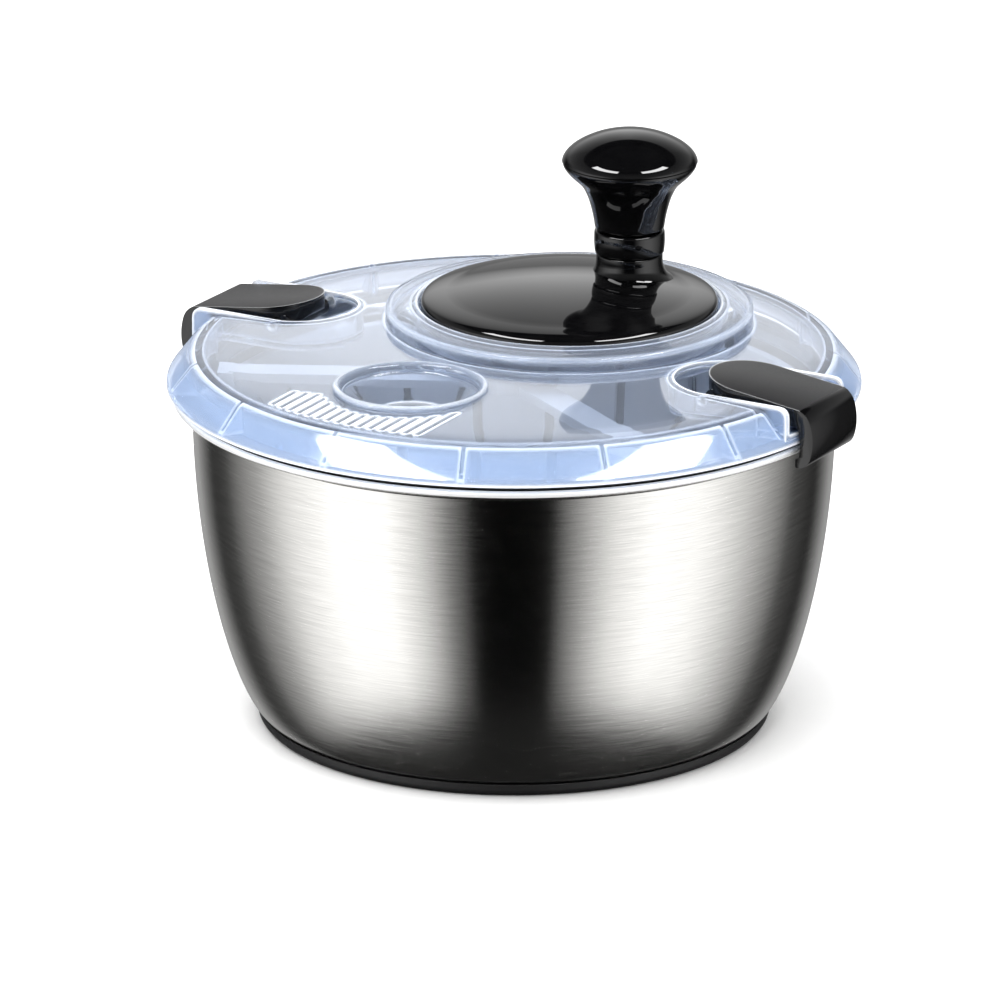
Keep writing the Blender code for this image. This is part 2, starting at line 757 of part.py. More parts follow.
def make_drive_spider():
    """Hub and three arms, each with two prongs that reach down past a lug on the basket's rim."""
    low, top = FLOOR_Z - 14.4, FLOOR_Z - 14.4 + ARM_THICK
    hub = ring(SHAFT_BORE, SPIDER_HUB_R, low, FLOOR_Z - 6.8)
    spider = turned("drive_spider", hub, DRIVE_AXIS, FROSTED, SMALL_ROUND)
    prong_in, prong_out = LUG_HALF + 0.5, LUG_HALF + 0.5 + PRONG
    reach_in, reach_out = BASKET_R - 5, BASKET_R + 1.5
    arms, forks, prongs = [], [], []
    for turn in map(math.radians, ARM_ANGLES):
        arms.append(((SHAFT_R + 6, -ARM_HALF, low), (reach_in + 2, ARM_HALF, top), turn))
        forks.append(((reach_in, -prong_out, low), (reach_out, prong_out, top - 0.4), turn))
        for near, far in ((-prong_out, -prong_in), (prong_in, prong_out)):
            prongs.append(((reach_in, near, BASKET_RIM_Z + 1.5), (reach_out, far, top - 0.8), turn))
    combine(spider, "UNION", blocks("drive_arms", arms, DRIVE_AXIS))
    combine(spider, "UNION", blocks("drive_forks", forks, DRIVE_AXIS))
    return combine(spider, "UNION", blocks("drive_prongs", prongs, DRIVE_AXIS))


def make_shaft_clip():
    section = ring(SHAFT_BORE, SHAFT_R + 3, FLOOR_Z - 16.0, FLOOR_Z - 15.0)
    return turned("shaft_clip", section, DRIVE_AXIS, TURNED_STEEL, SMALL_ROUND)


# ---------------------------------------------------------------- crank


def dome_z(radius):
    """Height of the disc's top, inside its rounded edge."""
    return DRUM_TOP_Z + DOME_RISE - DOME_CURVE * radius**2


def rounded_edge(start, corner, end, steps=4):
    """Points on a curve from start to end that leaves and arrives along the lines to the corner."""
    shares = [i / steps for i in range(1, steps + 1)]
    return [
        tuple(a * (1 - t) ** 2 + b * 2 * t * (1 - t) + c * t * t for a, b, c in zip(start, corner, end))
        for t in shares
    ]


def make_crank_disc():
    hub_r, skirt_in, flat_r = SPIGOT_R + 2, DISC_R - DISC_SKIRT, DISC_R - DISC_SHOULDER
    top = [(flat_r * i / 4, dome_z(flat_r * i / 4)) for i in range(5)]
    edge = rounded_edge(top[-1], (DISC_R - 1.5, DRUM_TOP_Z + 1.8), (DISC_R, DRUM_TOP_Z - 0.9))
    under = [(skirt_in, DRUM_TOP_Z - 1.9)] + [(r, dome_z(r) - DISC_THICK) for r in (DISC_R * 0.6, hub_r)]
    section = (
        top
        + edge
        + [(DISC_R, FLOOR_Z + 5.2), (skirt_in, FLOOR_Z + 5.2)]
        + under
        + [(hub_r, FLOOR_Z + 3.4), (SPIGOT_R, FLOOR_Z + 3.4), (SPIGOT_R, FLOOR_Z - 6.0)]
        + [(CRANK_SCREW_R + GAP, FLOOR_Z - 6.0), (CRANK_SCREW_R + GAP, FLOOR_Z + 5.0), (0, FLOOR_Z + 5.0)]
    )
    disc = turned("crank_disc", section, CRANK_AXIS, BLACK_GLOSS)
    return combine(disc, "UNION", crank_post())


def crank_post():
    """The post that carries the knob, with a flared foot and a bore for the knob's axle."""
    axle_bore = AXLE_R + GAP
    foot, shoulder = FLOOR_Z + 12.5, COLLAR_Z - GAP
    section = [
        (0, FLOOR_Z + 19.2),
        (axle_bore, FLOOR_Z + 19.2),
        (axle_bore, FLOOR_Z + 35.0),
        (NECK_R, FLOOR_Z + 35.0),
        (NECK_R, shoulder),
        (POST_R, shoulder),
        (POST_R, foot + 9.2),
        (POST_R + 0.7, foot + 6.7),
        (POST_R + 2.3, foot + 4.5),
        (POST_R + 4.3, foot + 3.1),
        (POST_R + 4.3, foot),
        (0, foot),
    ]
    return turned("crank_post", section, KNOB_AXIS, BLACK_GLOSS, MIDDLE_ROUND)


def make_post_collar():
    inner, low = NECK_R + GAP, COLLAR_Z
    section = [
        (inner, low + 8.8),
        (POST_R + 0.5, low + 8.8),
        (POST_R + 1.2, low + 6.8),
        (POST_R + 1.3, low + 4.3),
        (POST_R + 0.9, low + 1.8),
        (POST_R + 0.2, low),
        (inner, low),
    ]
    return turned("post_collar", section, KNOB_AXIS, BLACK_SATIN, MIDDLE_ROUND)


def make_crank_fixings():
    """The washer and screw that hold the crank down from under the drum's floor."""
    washer = ring(CRANK_SCREW_R + GAP + 0.4, CRANK_BUSH_R + 2.5, FLOOR_Z - 7.3, FLOOR_Z - 6.3)
    turned("crank_washer", washer, CRANK_AXIS, TURNED_STEEL, SMALL_ROUND)
    head_r = CRANK_SCREW_R + 2.7
    screw = [
        (0, FLOOR_Z + 4.2),
        (CRANK_SCREW_R, FLOOR_Z + 4.2),
        (CRANK_SCREW_R, FLOOR_Z - 7.6),
        (head_r, FLOOR_Z - 7.6),
        (head_r - 0.5, FLOOR_Z - 9.0),
        (head_r - 1.6, FLOOR_Z - 9.3),
        (0, FLOOR_Z - 9.3),
    ]
    turned("crank_screw", screw, CRANK_AXIS, TURNED_STEEL, SMALL_ROUND)


# ---------------------------------------------------------------- knob


def make_knob_axle():
    low, high = FLOOR_Z + 19.6, FLOOR_Z + 59.2
    section = [(0, high), (AXLE_R - 0.4, high), (AXLE_R, high - 0.4), (AXLE_R, low), (0, low)]
    return turned("knob_axle", section, KNOB_AXIS, TURNED_STEEL, SMALL_ROUND)


def make_knob_bearing():
    """The bush in the grip, and the washer and nut that keep the grip on its axle."""
    bush_in = AXLE_R + RUNNING + 0.05
    turned(
        "knob_bush",
        ring(bush_in, bush_in + KNOB_BUSH_WALL, GRIP_Z + 0.2, GRIP_Z + 17.6),
        KNOB_AXIS,
        ACETAL,
        SMALL_ROUND,
    )
    washer = ring(AXLE_R + GAP, AXLE_R + 4, GRIP_Z + 18.1, GRIP_Z + 19.1)
    turned("knob_washer", washer, KNOB_AXIS, TURNED_STEEL, SMALL_ROUND)
    outlines = [circle(AXLE_R + 2.9, 6), circle(AXLE_R + GAP, SMALL_ROUND)]
    extruded("knob_nut", outlines, GRIP_Z + 19.4, GRIP_Z + 23.0, KNOB_AXIS, TURNED_STEEL)


def make_knob_grip():
    bore_r = AXLE_R + RUNNING + 0.05 + KNOB_BUSH_WALL + GAP
    z = GRIP_Z
    stem = [(-0.1, 25.8), (-0.8, 23.6), (-3.2, 20.8), (-6.7, 17.7), (-8.1, 15.9), (-9.9, 12.2)]
    stem += [(-11.3, 7.3), (-12.1, 3.6), (-12.6, 0)]
    outside = [(KNOB_R + step, z + rise) for step, rise in stem]
    inside = [(bore_r, z), (bore_r, z + 17.8), (KNOB_R - 11.8, z + 17.8), (KNOB_R - 5.3, z + 22.0)]
    section = [(KNOB_R - 2.4, z + 25.8)] + outside + inside
    return turned("knob_grip", section, KNOB_AXIS, BLACK_GLOSS, MIDDLE_ROUND)


def make_knob_cap():
    z, wall = CAP_Z, 2.0
    snap_in, snap_out = KNOB_R - 6.4, KNOB_R - 5.0
    angles = [math.radians(90 - 90 * i / 6) for i in range(6)]
    dome = [(KNOB_R * math.cos(a), z + 0.8 + (KNOB_DOME - 0.8) * math.sin(a)) for a in angles]
    dome[0] = (0, z + KNOB_DOME)
    inner_r, inner_rise = KNOB_R - wall, KNOB_DOME - wall
    ceiling = [(r, z + inner_rise * math.sqrt(1 - (r / inner_r) ** 2)) for r in (snap_in, 14, 8)]
    snap = [(snap_out, z), (snap_out, z - 2.9), (snap_in, z - 2.9)]
    section = dome + [(KNOB_R, z + 0.8), (KNOB_R - 0.3, z)] + snap + ceiling + [(0, z + inner_rise)]
    return turned("knob_cap", section, KNOB_AXIS, BLACK_GLOSS, MIDDLE_ROUND)


# ---------------------------------------------------------------- latches


def latch_outline():
    """The side view of a latch from its hinge: sloping top, hook down the outside, open inner end."""
    r, z = LID_R, RIM_Z
    points = [
        (r - 45.0, z + 15.1),
        (r - 45.0, z + 19.5),
        (r + 1.0, z + 13.3),
        (r + 2.6, z + 12.5),
        (r + 4.4, z + 9.9),
        (r + 5.9, z + 5.1),
        (r + 5.9, z - 0.9),
        (r + 4.8, z - 5.3),
        (r + 2.8, z - 8.1),
        (r + 0.5, z - 8.9),
        (r - 1.3, z - 8.3),
        (r - 1.3, z - 5.5),
        (r + 0.3, z - 4.7),
        (r + 0.5, z + 1.1),
        (r - 0.2, z + 6.3),
        (r - 2.0, z + 7.1),
        (r - 33.0, z + 9.4),
        (r - 40.0, z + 10.1),
        (r - 44.0, z + 13.5),
    ]
    return [(x - HINGE_R, y - HINGE_Z) for x, y in points]


def latch_hollow():
    r, z = LID_R, RIM_Z
    points = [
        (r - 52, z + 17.8),
        (r - 3.2, z + 11.2),
        (r - 2.2, z + 9.0),
        (r - 2.2, z - 20),
        (r - 52, z - 20),
    ]
    return [(x - HINGE_R, y - HINGE_Z) for x, y in points]


def make_latch(side):
    frame, low, high = LATCH_AXES[side], -40, 40
    end = LATCH_TIP_R + LATCH_HALF - HINGE_R
    plan = tongue(LATCH_HALF, end, LID_R + 10 - HINGE_R)
    inset = tongue(LATCH_HALF - LATCH_SHELL, end, LID_R + 10 - HINGE_R)
    name = f"{side}_latch"
    latch = side_extruded(name, latch_outline(), LATCH_HALF + 1, frame, BLACK_SATIN)
    combine(latch, "INTERSECT", extruded(f"{name}_plan", [plan], low, high, frame, BLACK_SATIN))
    hollow = side_extruded(f"{name}_hollow", latch_hollow(), LATCH_HALF + 1, frame, BLACK_SATIN)
    hollow_plan = extruded(f"{name}_hollow_plan", [inset], low, high, frame, BLACK_SATIN)
    combine(hollow, "INTERSECT", hollow_plan)
    combine(latch, "DIFFERENCE", hollow)
    barrel = cross_cylinder(f"{name}_barrel", BARREL_R, LATCH_HALF - 3.4, frame, BLACK_SATIN)
    combine(latch, "UNION", barrel)
    pin_bore = HINGE_PIN_R + RUNNING + 0.05
    combine(latch, "DIFFERENCE", cross_cylinder(f"{name}_bore", pin_bore, LATCH_HALF + 5, frame, BLACK_SATIN))
    return cross_cylinder(f"{name}_pin", HINGE_PIN_R, POCKET_HALF + POCKET_WALL - 1, frame, TURNED_STEEL)


def main():
    make_bowl()
    make_base_pad()
    make_pivot_stud()
    make_basket()
    make_pivot_bush()
    make_lid()
    make_lid_gasket()
    make_bushes()
    make_ring_gear()
    make_pinion()
    make_drive_shaft()
    make_drive_spider()
    make_shaft_clip()
    make_crank_disc()
    make_post_collar()
    make_crank_fixings()
    make_knob_axle()
    make_knob_bearing()
    make_knob_grip()
    make_knob_cap()
    for side in LATCH_ANGLES:
        make_latch(side)


main()
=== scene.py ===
# %% [markdown]
# # A salad spinner, piece by piece
# A steel bowl, a strainer basket inside it, and a clear lid with a crank that stands off centre. Turning the knob
# turns a hidden ring gear, which drives a small gear and the basket. The CAD model gives every place and size, and
# this lesson gives each piece its finished shape and its finish. Lengths are millimetres, and MM turns them to metres.

# %% Load the frame
import math

import bmesh
import bpy
from mathutils import Matrix, Vector


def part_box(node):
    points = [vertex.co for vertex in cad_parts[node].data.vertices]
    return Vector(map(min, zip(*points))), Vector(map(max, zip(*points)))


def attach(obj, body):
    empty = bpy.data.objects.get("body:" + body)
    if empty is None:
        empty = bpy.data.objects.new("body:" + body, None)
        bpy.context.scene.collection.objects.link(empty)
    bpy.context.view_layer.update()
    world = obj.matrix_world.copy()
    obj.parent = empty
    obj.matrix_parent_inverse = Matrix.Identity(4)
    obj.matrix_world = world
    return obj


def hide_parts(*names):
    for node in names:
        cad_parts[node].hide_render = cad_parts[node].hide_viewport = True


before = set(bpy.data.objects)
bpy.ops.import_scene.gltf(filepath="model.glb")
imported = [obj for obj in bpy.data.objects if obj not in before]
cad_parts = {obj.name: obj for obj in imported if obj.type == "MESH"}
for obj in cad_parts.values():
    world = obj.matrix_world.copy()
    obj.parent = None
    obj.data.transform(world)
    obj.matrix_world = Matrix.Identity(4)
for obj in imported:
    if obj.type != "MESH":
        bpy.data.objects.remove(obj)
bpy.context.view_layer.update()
MM = 0.001

# %% [markdown]
# ## Sizes
# Every size starts from the box of a CAD node, so the pieces fit the moving model with no shifting by eye. A turned
# piece needs only its axis, its outer radius and a height to start from.


# %% Measure the CAD nodes
def extent(node):
    """The lowest and highest corners of a CAD node, in millimetres."""
    low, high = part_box(node)
    return [c / MM for c in low], [c / MM for c in high]


def centre_of(node):
    low, high = extent(node)
    return (low[0] + high[0]) / 2, (low[1] + high[1]) / 2


LID_R = extent("lid")[1][0]  # outer edge of the lid
RIM_Z = extent("lid_gasket")[1][2] + 0.3  # underside of that edge
PLATE_Z = RIM_Z + 16.3  # top of the plate, at its middle
FLOOR_Z = PLATE_Z - 4.4  # floor of the drum that the crank turns in
DRUM_TOP_Z = FLOOR_Z + 10.8
CRANK = centre_of("crank_disc")
KNOB = centre_of("knob_grip")
DISC_R = (extent("crank_disc")[1][0] - extent("crank_disc")[0][0]) / 2
WELL_R = DISC_R + 1.0
DRUM_R = WELL_R + 12.6
KNOB_R = (extent("knob_cap")[1][0] - extent("knob_cap")[0][0]) / 2
GRIP_Z = extent("knob_grip")[0][2]
CAP_Z = extent("knob_cap")[1][2] - 11.8
COLLAR_Z = extent("post_collar")[0][2]
BOWL_BOTTOM_Z = extent("bowl")[0][2]
BEAD_TOP_Z = extent("bowl")[1][2]
BASKET_R = extent("basket")[1][0] - 2.7
BASKET_RIM_Z = RIM_Z - 9.4
LATCH_ANGLES = {"right": math.radians(-30), "left": math.radians(150)}
ABOVE_ALL = 190  # a height over everything that is cut
print(f"lid radius {LID_R:.1f}, rim {RIM_Z:.1f}")
print("crank and knob axes:", [round(c, 1) for c in CRANK + KNOB])

# %% [markdown]
# ## Colours and nodes
# A colour is easiest to think of as the hex code that a screen shows, but light adds up in linear values, so one
# function converts it. A second one adds a node with its settings and its links, which keeps each finish short.


# %% Helpers for materials
def colour(code):
    """An sRGB hex colour as linear red, green, blue and alpha."""
    parts = [int(code[i : i + 2], 16) / 255 for i in (0, 2, 4)]
    return [p / 12.92 if p <= 0.04045 else ((p + 0.055) / 1.055) ** 2.4 for p in parts] + [1]


def add(tree, kind, sockets=(), **settings):
    """Adds a node. Settings are its own attributes, and sockets maps an input to a value or to an output."""
    made = tree.nodes.new(kind)
    for name, value in settings.items():
        setattr(made, name, value)
    for name, value in dict(sockets).items():
        if isinstance(value, bpy.types.NodeSocket):
            tree.links.new(value, made.inputs[name])
        else:
            made.inputs[name].default_value = value
    return made


def new_finish(name, roughness, **constants):
    """A material with its node tree and its Principled shader, whose sockets are set by name."""
    made = bpy.data.materials.new(name)
    made.use_nodes = True
    shader = made.node_tree.nodes["Principled BSDF"]
    shader.inputs["Roughness"].default_value = roughness
    for socket, value in constants.items():
        shader.inputs[socket.replace("_", " ")].default_value = value
    return made, made.node_tree, shader


def link(tree, output, socket):
    tree.links.new(output, socket)


def two_tone(tree, value, dark, light, start=0.0, end=1.0):
    """A colour that goes from dark to light, both hex codes, as a value goes from start to end."""
    ramp = add(tree, "ShaderNodeValToRGB", {"Fac": value})
    for element, spot, code in zip(ramp.color_ramp.elements, (start, end), (dark, light)):
        element.position, element.color = spot, colour(code)
    return ramp.outputs["Color"]


def varied(tree, value, low, high, start=0.3, end=0.7):
    """A number that goes from low to high as a value goes from start to end."""
    given = {"Value": value, "From Min": start, "From Max": end, "To Min": low, "To Max": high}
    return add(tree, "ShaderNodeMapRange", given).outputs["Result"]


def distance_out(tree, parts):
    """How far a place is from the vertical axis, from its separated coordinates."""
    flat = add(tree, "ShaderNodeCombineXYZ", {"X": parts.outputs["X"], "Y": parts.outputs["Y"]})
    return add(tree, "ShaderNodeVectorMath", {0: flat.outputs[0]}, operation="LENGTH").outputs["Value"]


# %% [markdown]
# ## Brushed stainless steel
# The bowl is spun from sheet and then brushed while it turns, so fine scratches run round it. Each scratch spreads
# a reflection at right angles to itself, which draws every light out into a tall soft band. Anisotropy does that,
# with the tangent turned a quarter so that the blur runs up the wall. The scratches themselves are a noise that is
# stretched 40 times along its length: about 16 mm long and 0.4 mm wide, the finest that shows at this size.


# %% Brushed stainless steel
def brushed_steel():
    settings = {"Metallic": 1.0, "Anisotropic": 0.7, "Anisotropic_Rotation": 0.25}
    finish, tree, shader = new_finish("brushed_stainless_steel", 0.24, **settings)
    place = add(tree, "ShaderNodeTexCoord").outputs["Object"]
    parts = add(tree, "ShaderNodeSeparateXYZ", {0: place})
    along = add(tree, "ShaderNodeMath", {0: parts.outputs["Z"], 1: distance_out(tree, parts)}, operation="ADD")
    line = add(tree, "ShaderNodeCombineXYZ", {"X": parts.outputs["X"], "Y": parts.outputs["Y"], "Z": along.outputs[0]})
    stretched = add(tree, "ShaderNodeMapping", {"Vector": line.outputs[0], "Scale": (60, 60, 2500)})
    noise = {"Vector": stretched.outputs[0], "Scale": 1.0, "Detail": 3.0, "Roughness": 0.6}
    scratches = add(tree, "ShaderNodeTexNoise", noise).outputs["Fac"]
    tint = two_tone(tree, scratches, "C6C5C2", "DAD9D6", 0.3, 0.7)
    rough = varied(tree, scratches, 0.15, 0.2)
    bump = add(tree, "ShaderNodeBump", {"Height": scratches, "Strength": 0.03, "Distance": 0.0001})
    round_axis = add(tree, "ShaderNodeTangent", direction_type="RADIAL", axis="Z")
    link(tree, tint, shader.inputs["Base Color"])
    link(tree, rough, shader.inputs["Roughness"])
    link(tree, bump.outputs["Normal"], shader.inputs["Normal"])
    link(tree, round_axis.outputs["Tangent"], shader.inputs["Tangent"])
    return finish


def machined_steel():
    """Small turned parts: a faint mottling of about a millimetre."""
    finish, tree, shader = new_finish("turned_steel", 0.28, Metallic=1.0)
    place = add(tree, "ShaderNodeTexCoord").outputs["Object"]
    grain = add(tree, "ShaderNodeTexNoise", {"Vector": place, "Scale": 900.0, "Detail": 2.0}).outputs["Fac"]
    link(tree, two_tone(tree, grain, "A9ACAF", "D3D5D7"), shader.inputs["Base Color"])
    link(tree, varied(tree, grain, 0.2, 0.4, 0.0, 1.0), shader.inputs["Roughness"])
    return finish


def rim_highlight_steel():
    """Painted highlight on the rolled rim: half white and matt, bright from all sides, with a grain of about 0.2 mm.
    """
    finish, tree, shader = new_finish("painted_highlight_rim_steel", 0.38, Metallic=0.5)
    place = add(tree, "ShaderNodeTexCoord").outputs["Object"]
    grain = add(tree, "ShaderNodeTexNoise", {"Vector": place, "Scale": 5000.0, "Detail": 1.0}).outputs["Fac"]
    link(tree, two_tone(tree, grain, "F4F4F3", "FFFFFF"), shader.inputs["Base Color"])
    return finish


STEEL = brushed_steel()
RIM_HIGHLIGHT_STEEL = rim_highlight_steel()
TURNED_STEEL = machined_steel()
print("metals:", STEEL.name, RIM_HIGHLIGHT_STEEL.name, TURNED_STEEL.name)

# %% [markdown]
# ## Clear, faintly blue plastic
# The lid is injection-moulded clear styrene. It is thin, so most light goes straight through, but it is never quite
# clear: a little light is scattered in it, which gives a milky look, and it takes a blue tint along its longer
# paths, at the rim. Transmission just under 1 gives the scatter, and a weak absorption gives the tint. On top of
# that, the edges carry a painted highlight, and the sloping rim is painted paler and milkier.


# %% Clear plastic for the lid
def clear_styrene():
    settings = {"Transmission_Weight": 0.95, "IOR": 1.5, "Specular_IOR_Level": 0.3}
    finish, tree, shader = new_finish("clear_moulded_styrene", 0.02, **settings)
    place = add(tree, "ShaderNodeTexCoord").outputs["Object"]
    flow = add(tree, "ShaderNodeTexNoise", {"Vector": place, "Scale": 22.0, "Detail": 1.0}).outputs["Fac"]
    bump = add(tree, "ShaderNodeBump", {"Height": flow, "Strength": 0.06, "Distance": 0.0006})
    absorbed = add(tree, "ShaderNodeVolumeAbsorption", {"Color": (0.35, 0.62, 0.9, 1), "Density": 10.0})
    link(tree, two_tone(tree, flow, "F2F6FE", "F9FBFF"), shader.inputs["Base Color"])
    link(tree, bump.outputs["Normal"], shader.inputs["Normal"])
    link(tree, absorbed.outputs["Volume"], tree.nodes["Material Output"].inputs["Volume"])

    # Painted highlight: edges and thin ribs are painted near white, as a clear moulding's bright edge lines. Looking
    # 1.8 mm into the wall finds the edges and the thin ribs, and skips the walls themselves, which are thicker.
    depth = add(tree, "ShaderNodeAmbientOcclusion", {"Distance": 0.0018}, samples=6, inside=True, only_local=True)
    edge = varied(tree, depth.outputs["AO"], 0.0, 0.92, 0.93, 0.66)

    # Painted lightness: the sloping rim gets more of a pale blue opaque layer, in place of the milky look it has
    # when seen edge on, through the ring behind it.
    parts = add(tree, "ShaderNodeSeparateXYZ", {0: place})
    start = (LID_R - 10) * MM
    rim = varied(tree, distance_out(tree, parts), 0.03, 0.3, start, start + 0.003)
    share = add(tree, "ShaderNodeMath", {0: edge, 1: rim}, operation="MAXIMUM")
    # The painted light colour: pale blue for the painted rim, near white for the painted edge highlight.
    painted_rim_and_edge_colour = add(tree, "ShaderNodeMix", {0: edge, 6: colour("AECAF3"), 7: colour("FCFDFF")}, data_type="RGBA")
    painted_light_veil = add(tree, "ShaderNodeBsdfPrincipled", {"Base Color": painted_rim_and_edge_colour.outputs[2], "Roughness": 0.15, "IOR": 1.5})
    solid = add(tree, "ShaderNodeMixShader", {0: share.outputs[0], 1: shader.outputs[0], 2: painted_light_veil.outputs[0]})

    # Light on its way to what is under the lid passes straight through, so the basket isn't in the dark.
    lamp = add(tree, "ShaderNodeLightPath").outputs["Is Shadow Ray"]
    clear = add(tree, "ShaderNodeBsdfTransparent", {"Color": colour("F0F5FD")})
    passed = add(tree, "ShaderNodeMixShader", {0: lamp, 1: solid.outputs[0], 2: clear.outputs[0]})
    link(tree, passed.outputs[0], tree.nodes["Material Output"].inputs["Surface"])
    return finish


CLEAR = clear_styrene()
print("plastic:", CLEAR.name)

# %% [markdown]
# ## Black plastics, silicone, frosted basket and acetal
# The crank, knob and latches are ABS from a polished mould: nearly black, with a mirror gloss that shows only in
# its reflections, and a very shallow waviness about 6 mm across that a mould leaves. The latch tops are satin. The
# foot and the gasket are silicone, which is matt and catches fine dust. The basket is frosted polypropylene.


# %% Finishes for the moulded parts
def moulded(name, dark, light, rough_low, rough_high, grain_mm, depth, edge=None, **constants):
    """A moulded plastic or rubber: its colour, gloss and surface all vary with one noise, sized in millimetres.

    With an edge colour, its outer edges are painted that colour as a highlight.
    """
    finish, tree, shader = new_finish(name, rough_low, **constants)
    place = add(tree, "ShaderNodeTexCoord").outputs["Object"]
    noise = {"Vector": place, "Scale": 1 / (grain_mm * MM), "Detail": 2.0}
    grain = add(tree, "ShaderNodeTexNoise", noise).outputs["Fac"]
    shown = two_tone(tree, grain, dark, light, 0.25, 0.75)
    bump = add(tree, "ShaderNodeBump", {"Height": grain, "Strength": 0.3, "Distance": depth * MM})
    if edge:  # painted highlight: a hard edge is painted pale
        inner = add(tree, "ShaderNodeAmbientOcclusion", {"Distance": 0.0011}, samples=6, inside=True, only_local=True)
        painted_edge_highlight = varied(tree, inner.outputs["AO"], 0.0, 1.0, 0.8, 0.55)
        shown = add(tree, "ShaderNodeMix", {0: painted_edge_highlight, 6: shown, 7: colour(edge)}, data_type="RGBA").outputs[2]
    link(tree, shown, shader.inputs["Base Color"])
    link(tree, varied(tree, grain, rough_low, rough_high), shader.inputs["Roughness"])
    link(tree, bump.outputs["Normal"], shader.inputs["Normal"])
    return finish


GLOSS = moulded("gloss_black_abs", "050506", "09090A", 0.015, 0.03, 6.0, 0.002, IOR=1.5)
# The satin finish's pale edge colour is a painted highlight round the latch tops.
SATIN = moulded("satin_black_abs", "131314", "1A1A1C", 0.3, 0.38, 0.5, 0.01, "B9BBBD", IOR=1.3)
SILICONE = moulded("black_silicone", "0A0A0B", "161617", 0.45, 0.62, 0.4, 0.02, IOR=1.41)
FROSTED = moulded(
    "frosted_polypropylene", "D9E0EA", "E9EEF5", 0.3, 0.42, 1.2, 0.02, Transmission_Weight=0.35, IOR=1.49
)
ACETAL = moulded("white_acetal", "DEDCD4", "ECEAE4", 0.28, 0.4, 1.5, 0.01, IOR=1.48)
print("moulded finishes:", GLOSS.name, SATIN.name, SILICONE.name, FROSTED.name, ACETAL.name)

# %% [markdown]
# ## Turned shapes
# Most of this object is round, so most of it is a section turned round an axis, as on a lathe. A section is a list
# of (radius, height) points. A real moulded or pressed edge is never sharp, and a soft edge is what catches the
# light, so a corner may carry a third number: how far from the corner its rounding starts.


# %% Helpers for shapes
SHARP = math.radians(32)  # faces that meet at more than this keep a crisp edge


def eased(points, closed, steps=4):
    """The points with each corner that has a third number rounded off, from that distance on either side."""
    made = []
    count = len(points)
    for i, point in enumerate(points):
        here = Vector(point[:2])
        if len(point) < 3 or (not closed and i in (0, count - 1)):
            made.append(tuple(here))
            continue
        sides = [Vector(points[(i + k) % count][:2]) - here for k in (-1, 1)]
        start, end = [here + s.normalized() * min(point[2], s.length * 0.49) for s in sides]
        for k in range(steps + 1):
            t = k / steps
            made.append(tuple(start * (1 - t) ** 2 + here * 2 * t * (1 - t) + end * t * t))
    return made


def bend(start, corner, end, steps=16):
    """Points after the start, along a curve that leaves it towards the corner and reaches the end from there."""
    made = []
    for i in range(1, steps + 1):
        t = i / steps
        made.append(tuple(a * (1 - t) ** 2 + b * 2 * t * (1 - t) + c * t * t for a, b, c in zip(start, corner, end)))
    return made


def finished_mesh(name, shape, material):
    """A new object from a bmesh in millimetres: doubles merged, faces outwards, smooth but for its sharp edges."""
    bmesh.ops.remove_doubles(shape, verts=shape.verts, dist=0.0005)
    bmesh.ops.recalc_face_normals(shape, faces=shape.faces)
    bmesh.ops.scale(shape, vec=(MM, MM, MM), verts=shape.verts)
    mesh = bpy.data.meshes.new(name)
    shape.to_mesh(mesh)
    shape.free()
    mesh.materials.append(material)
    mesh.shade_smooth()
    mesh.set_sharp_from_angle(angle=SHARP)
    made = bpy.data.objects.new(name, mesh)
    bpy.context.scene.collection.objects.link(made)
    return made


def turned(name, section, material, sides=192, axis=(0, 0)):
    """A section turned round a vertical axis. One that starts and ends on the axis is closed there."""
    closed = section[0][0] > 0 or section[-1][0] > 0
    points = eased(section, closed)
    shape = bmesh.new()
    rows = []
    for i in range(sides):
        turn = 2 * math.pi * i / sides
        rows.append(
            [shape.verts.new((axis[0] + r * math.cos(turn), axis[1] + r * math.sin(turn), z)) for r, z in points]
        )
    last = len(points) if closed else len(points) - 1
    for i in range(sides):
        here, after = rows[i], rows[(i + 1) % sides]
        for j in range(last):
            k = (j + 1) % len(points)
            shape.faces.new((here[j], after[j], after[k], here[k]))
    return finished_mesh(name, shape, material)


def extruded(name, outline, low, high, material):
    """A flat outline raised from one height to another."""
    shape = bmesh.new()
    under = [shape.verts.new((x, y, low)) for x, y in outline]
    over = [shape.verts.new((x, y, high)) for x, y in outline]
    shape.faces.new(under[::-1])
    shape.faces.new(over)
    for i in range(len(outline)):
        k = (i + 1) % len(outline)
        shape.faces.new((under[i], under[k], over[k], over[i]))
    return finished_mesh(name, shape, material)


def moved(obj, matrix):
    """The object with a move or a turn put into its mesh."""
    obj.data.transform(matrix)
    return obj


def baked(obj):
    """The object with its modifiers made permanent."""
    bpy.context.view_layer.update()
    graph = bpy.context.evaluated_depsgraph_get()
    mesh = bpy.data.meshes.new_from_object(obj.evaluated_get(graph))
    obj.modifiers.clear()
    obj.data = mesh
    mesh.shade_smooth()
    mesh.set_sharp_from_angle(angle=SHARP)
    return obj


def combine(target, operation, *tools):
    """Joins each tool to the target, cuts it away, or keeps what they share. The tool is used up."""
    for tool in tools:
        modifier = target.modifiers.new(operation, "BOOLEAN")
        modifier.operation, modifier.solver, modifier.object = operation, "EXACT", tool
        baked(target)
        bpy.data.objects.remove(tool)
    return target


def stands_for(obj, body, slot, *nodes):
    """Hands the finished piece to its body and hides the CAD nodes that it replaces. The slot is not used."""
    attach(obj, body)
    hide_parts(*nodes)
    obj.data.update()
    print(f"{obj.name}: {sum(len(p.vertices) - 2 for p in obj.data.polygons)} triangles, rides on {body}")
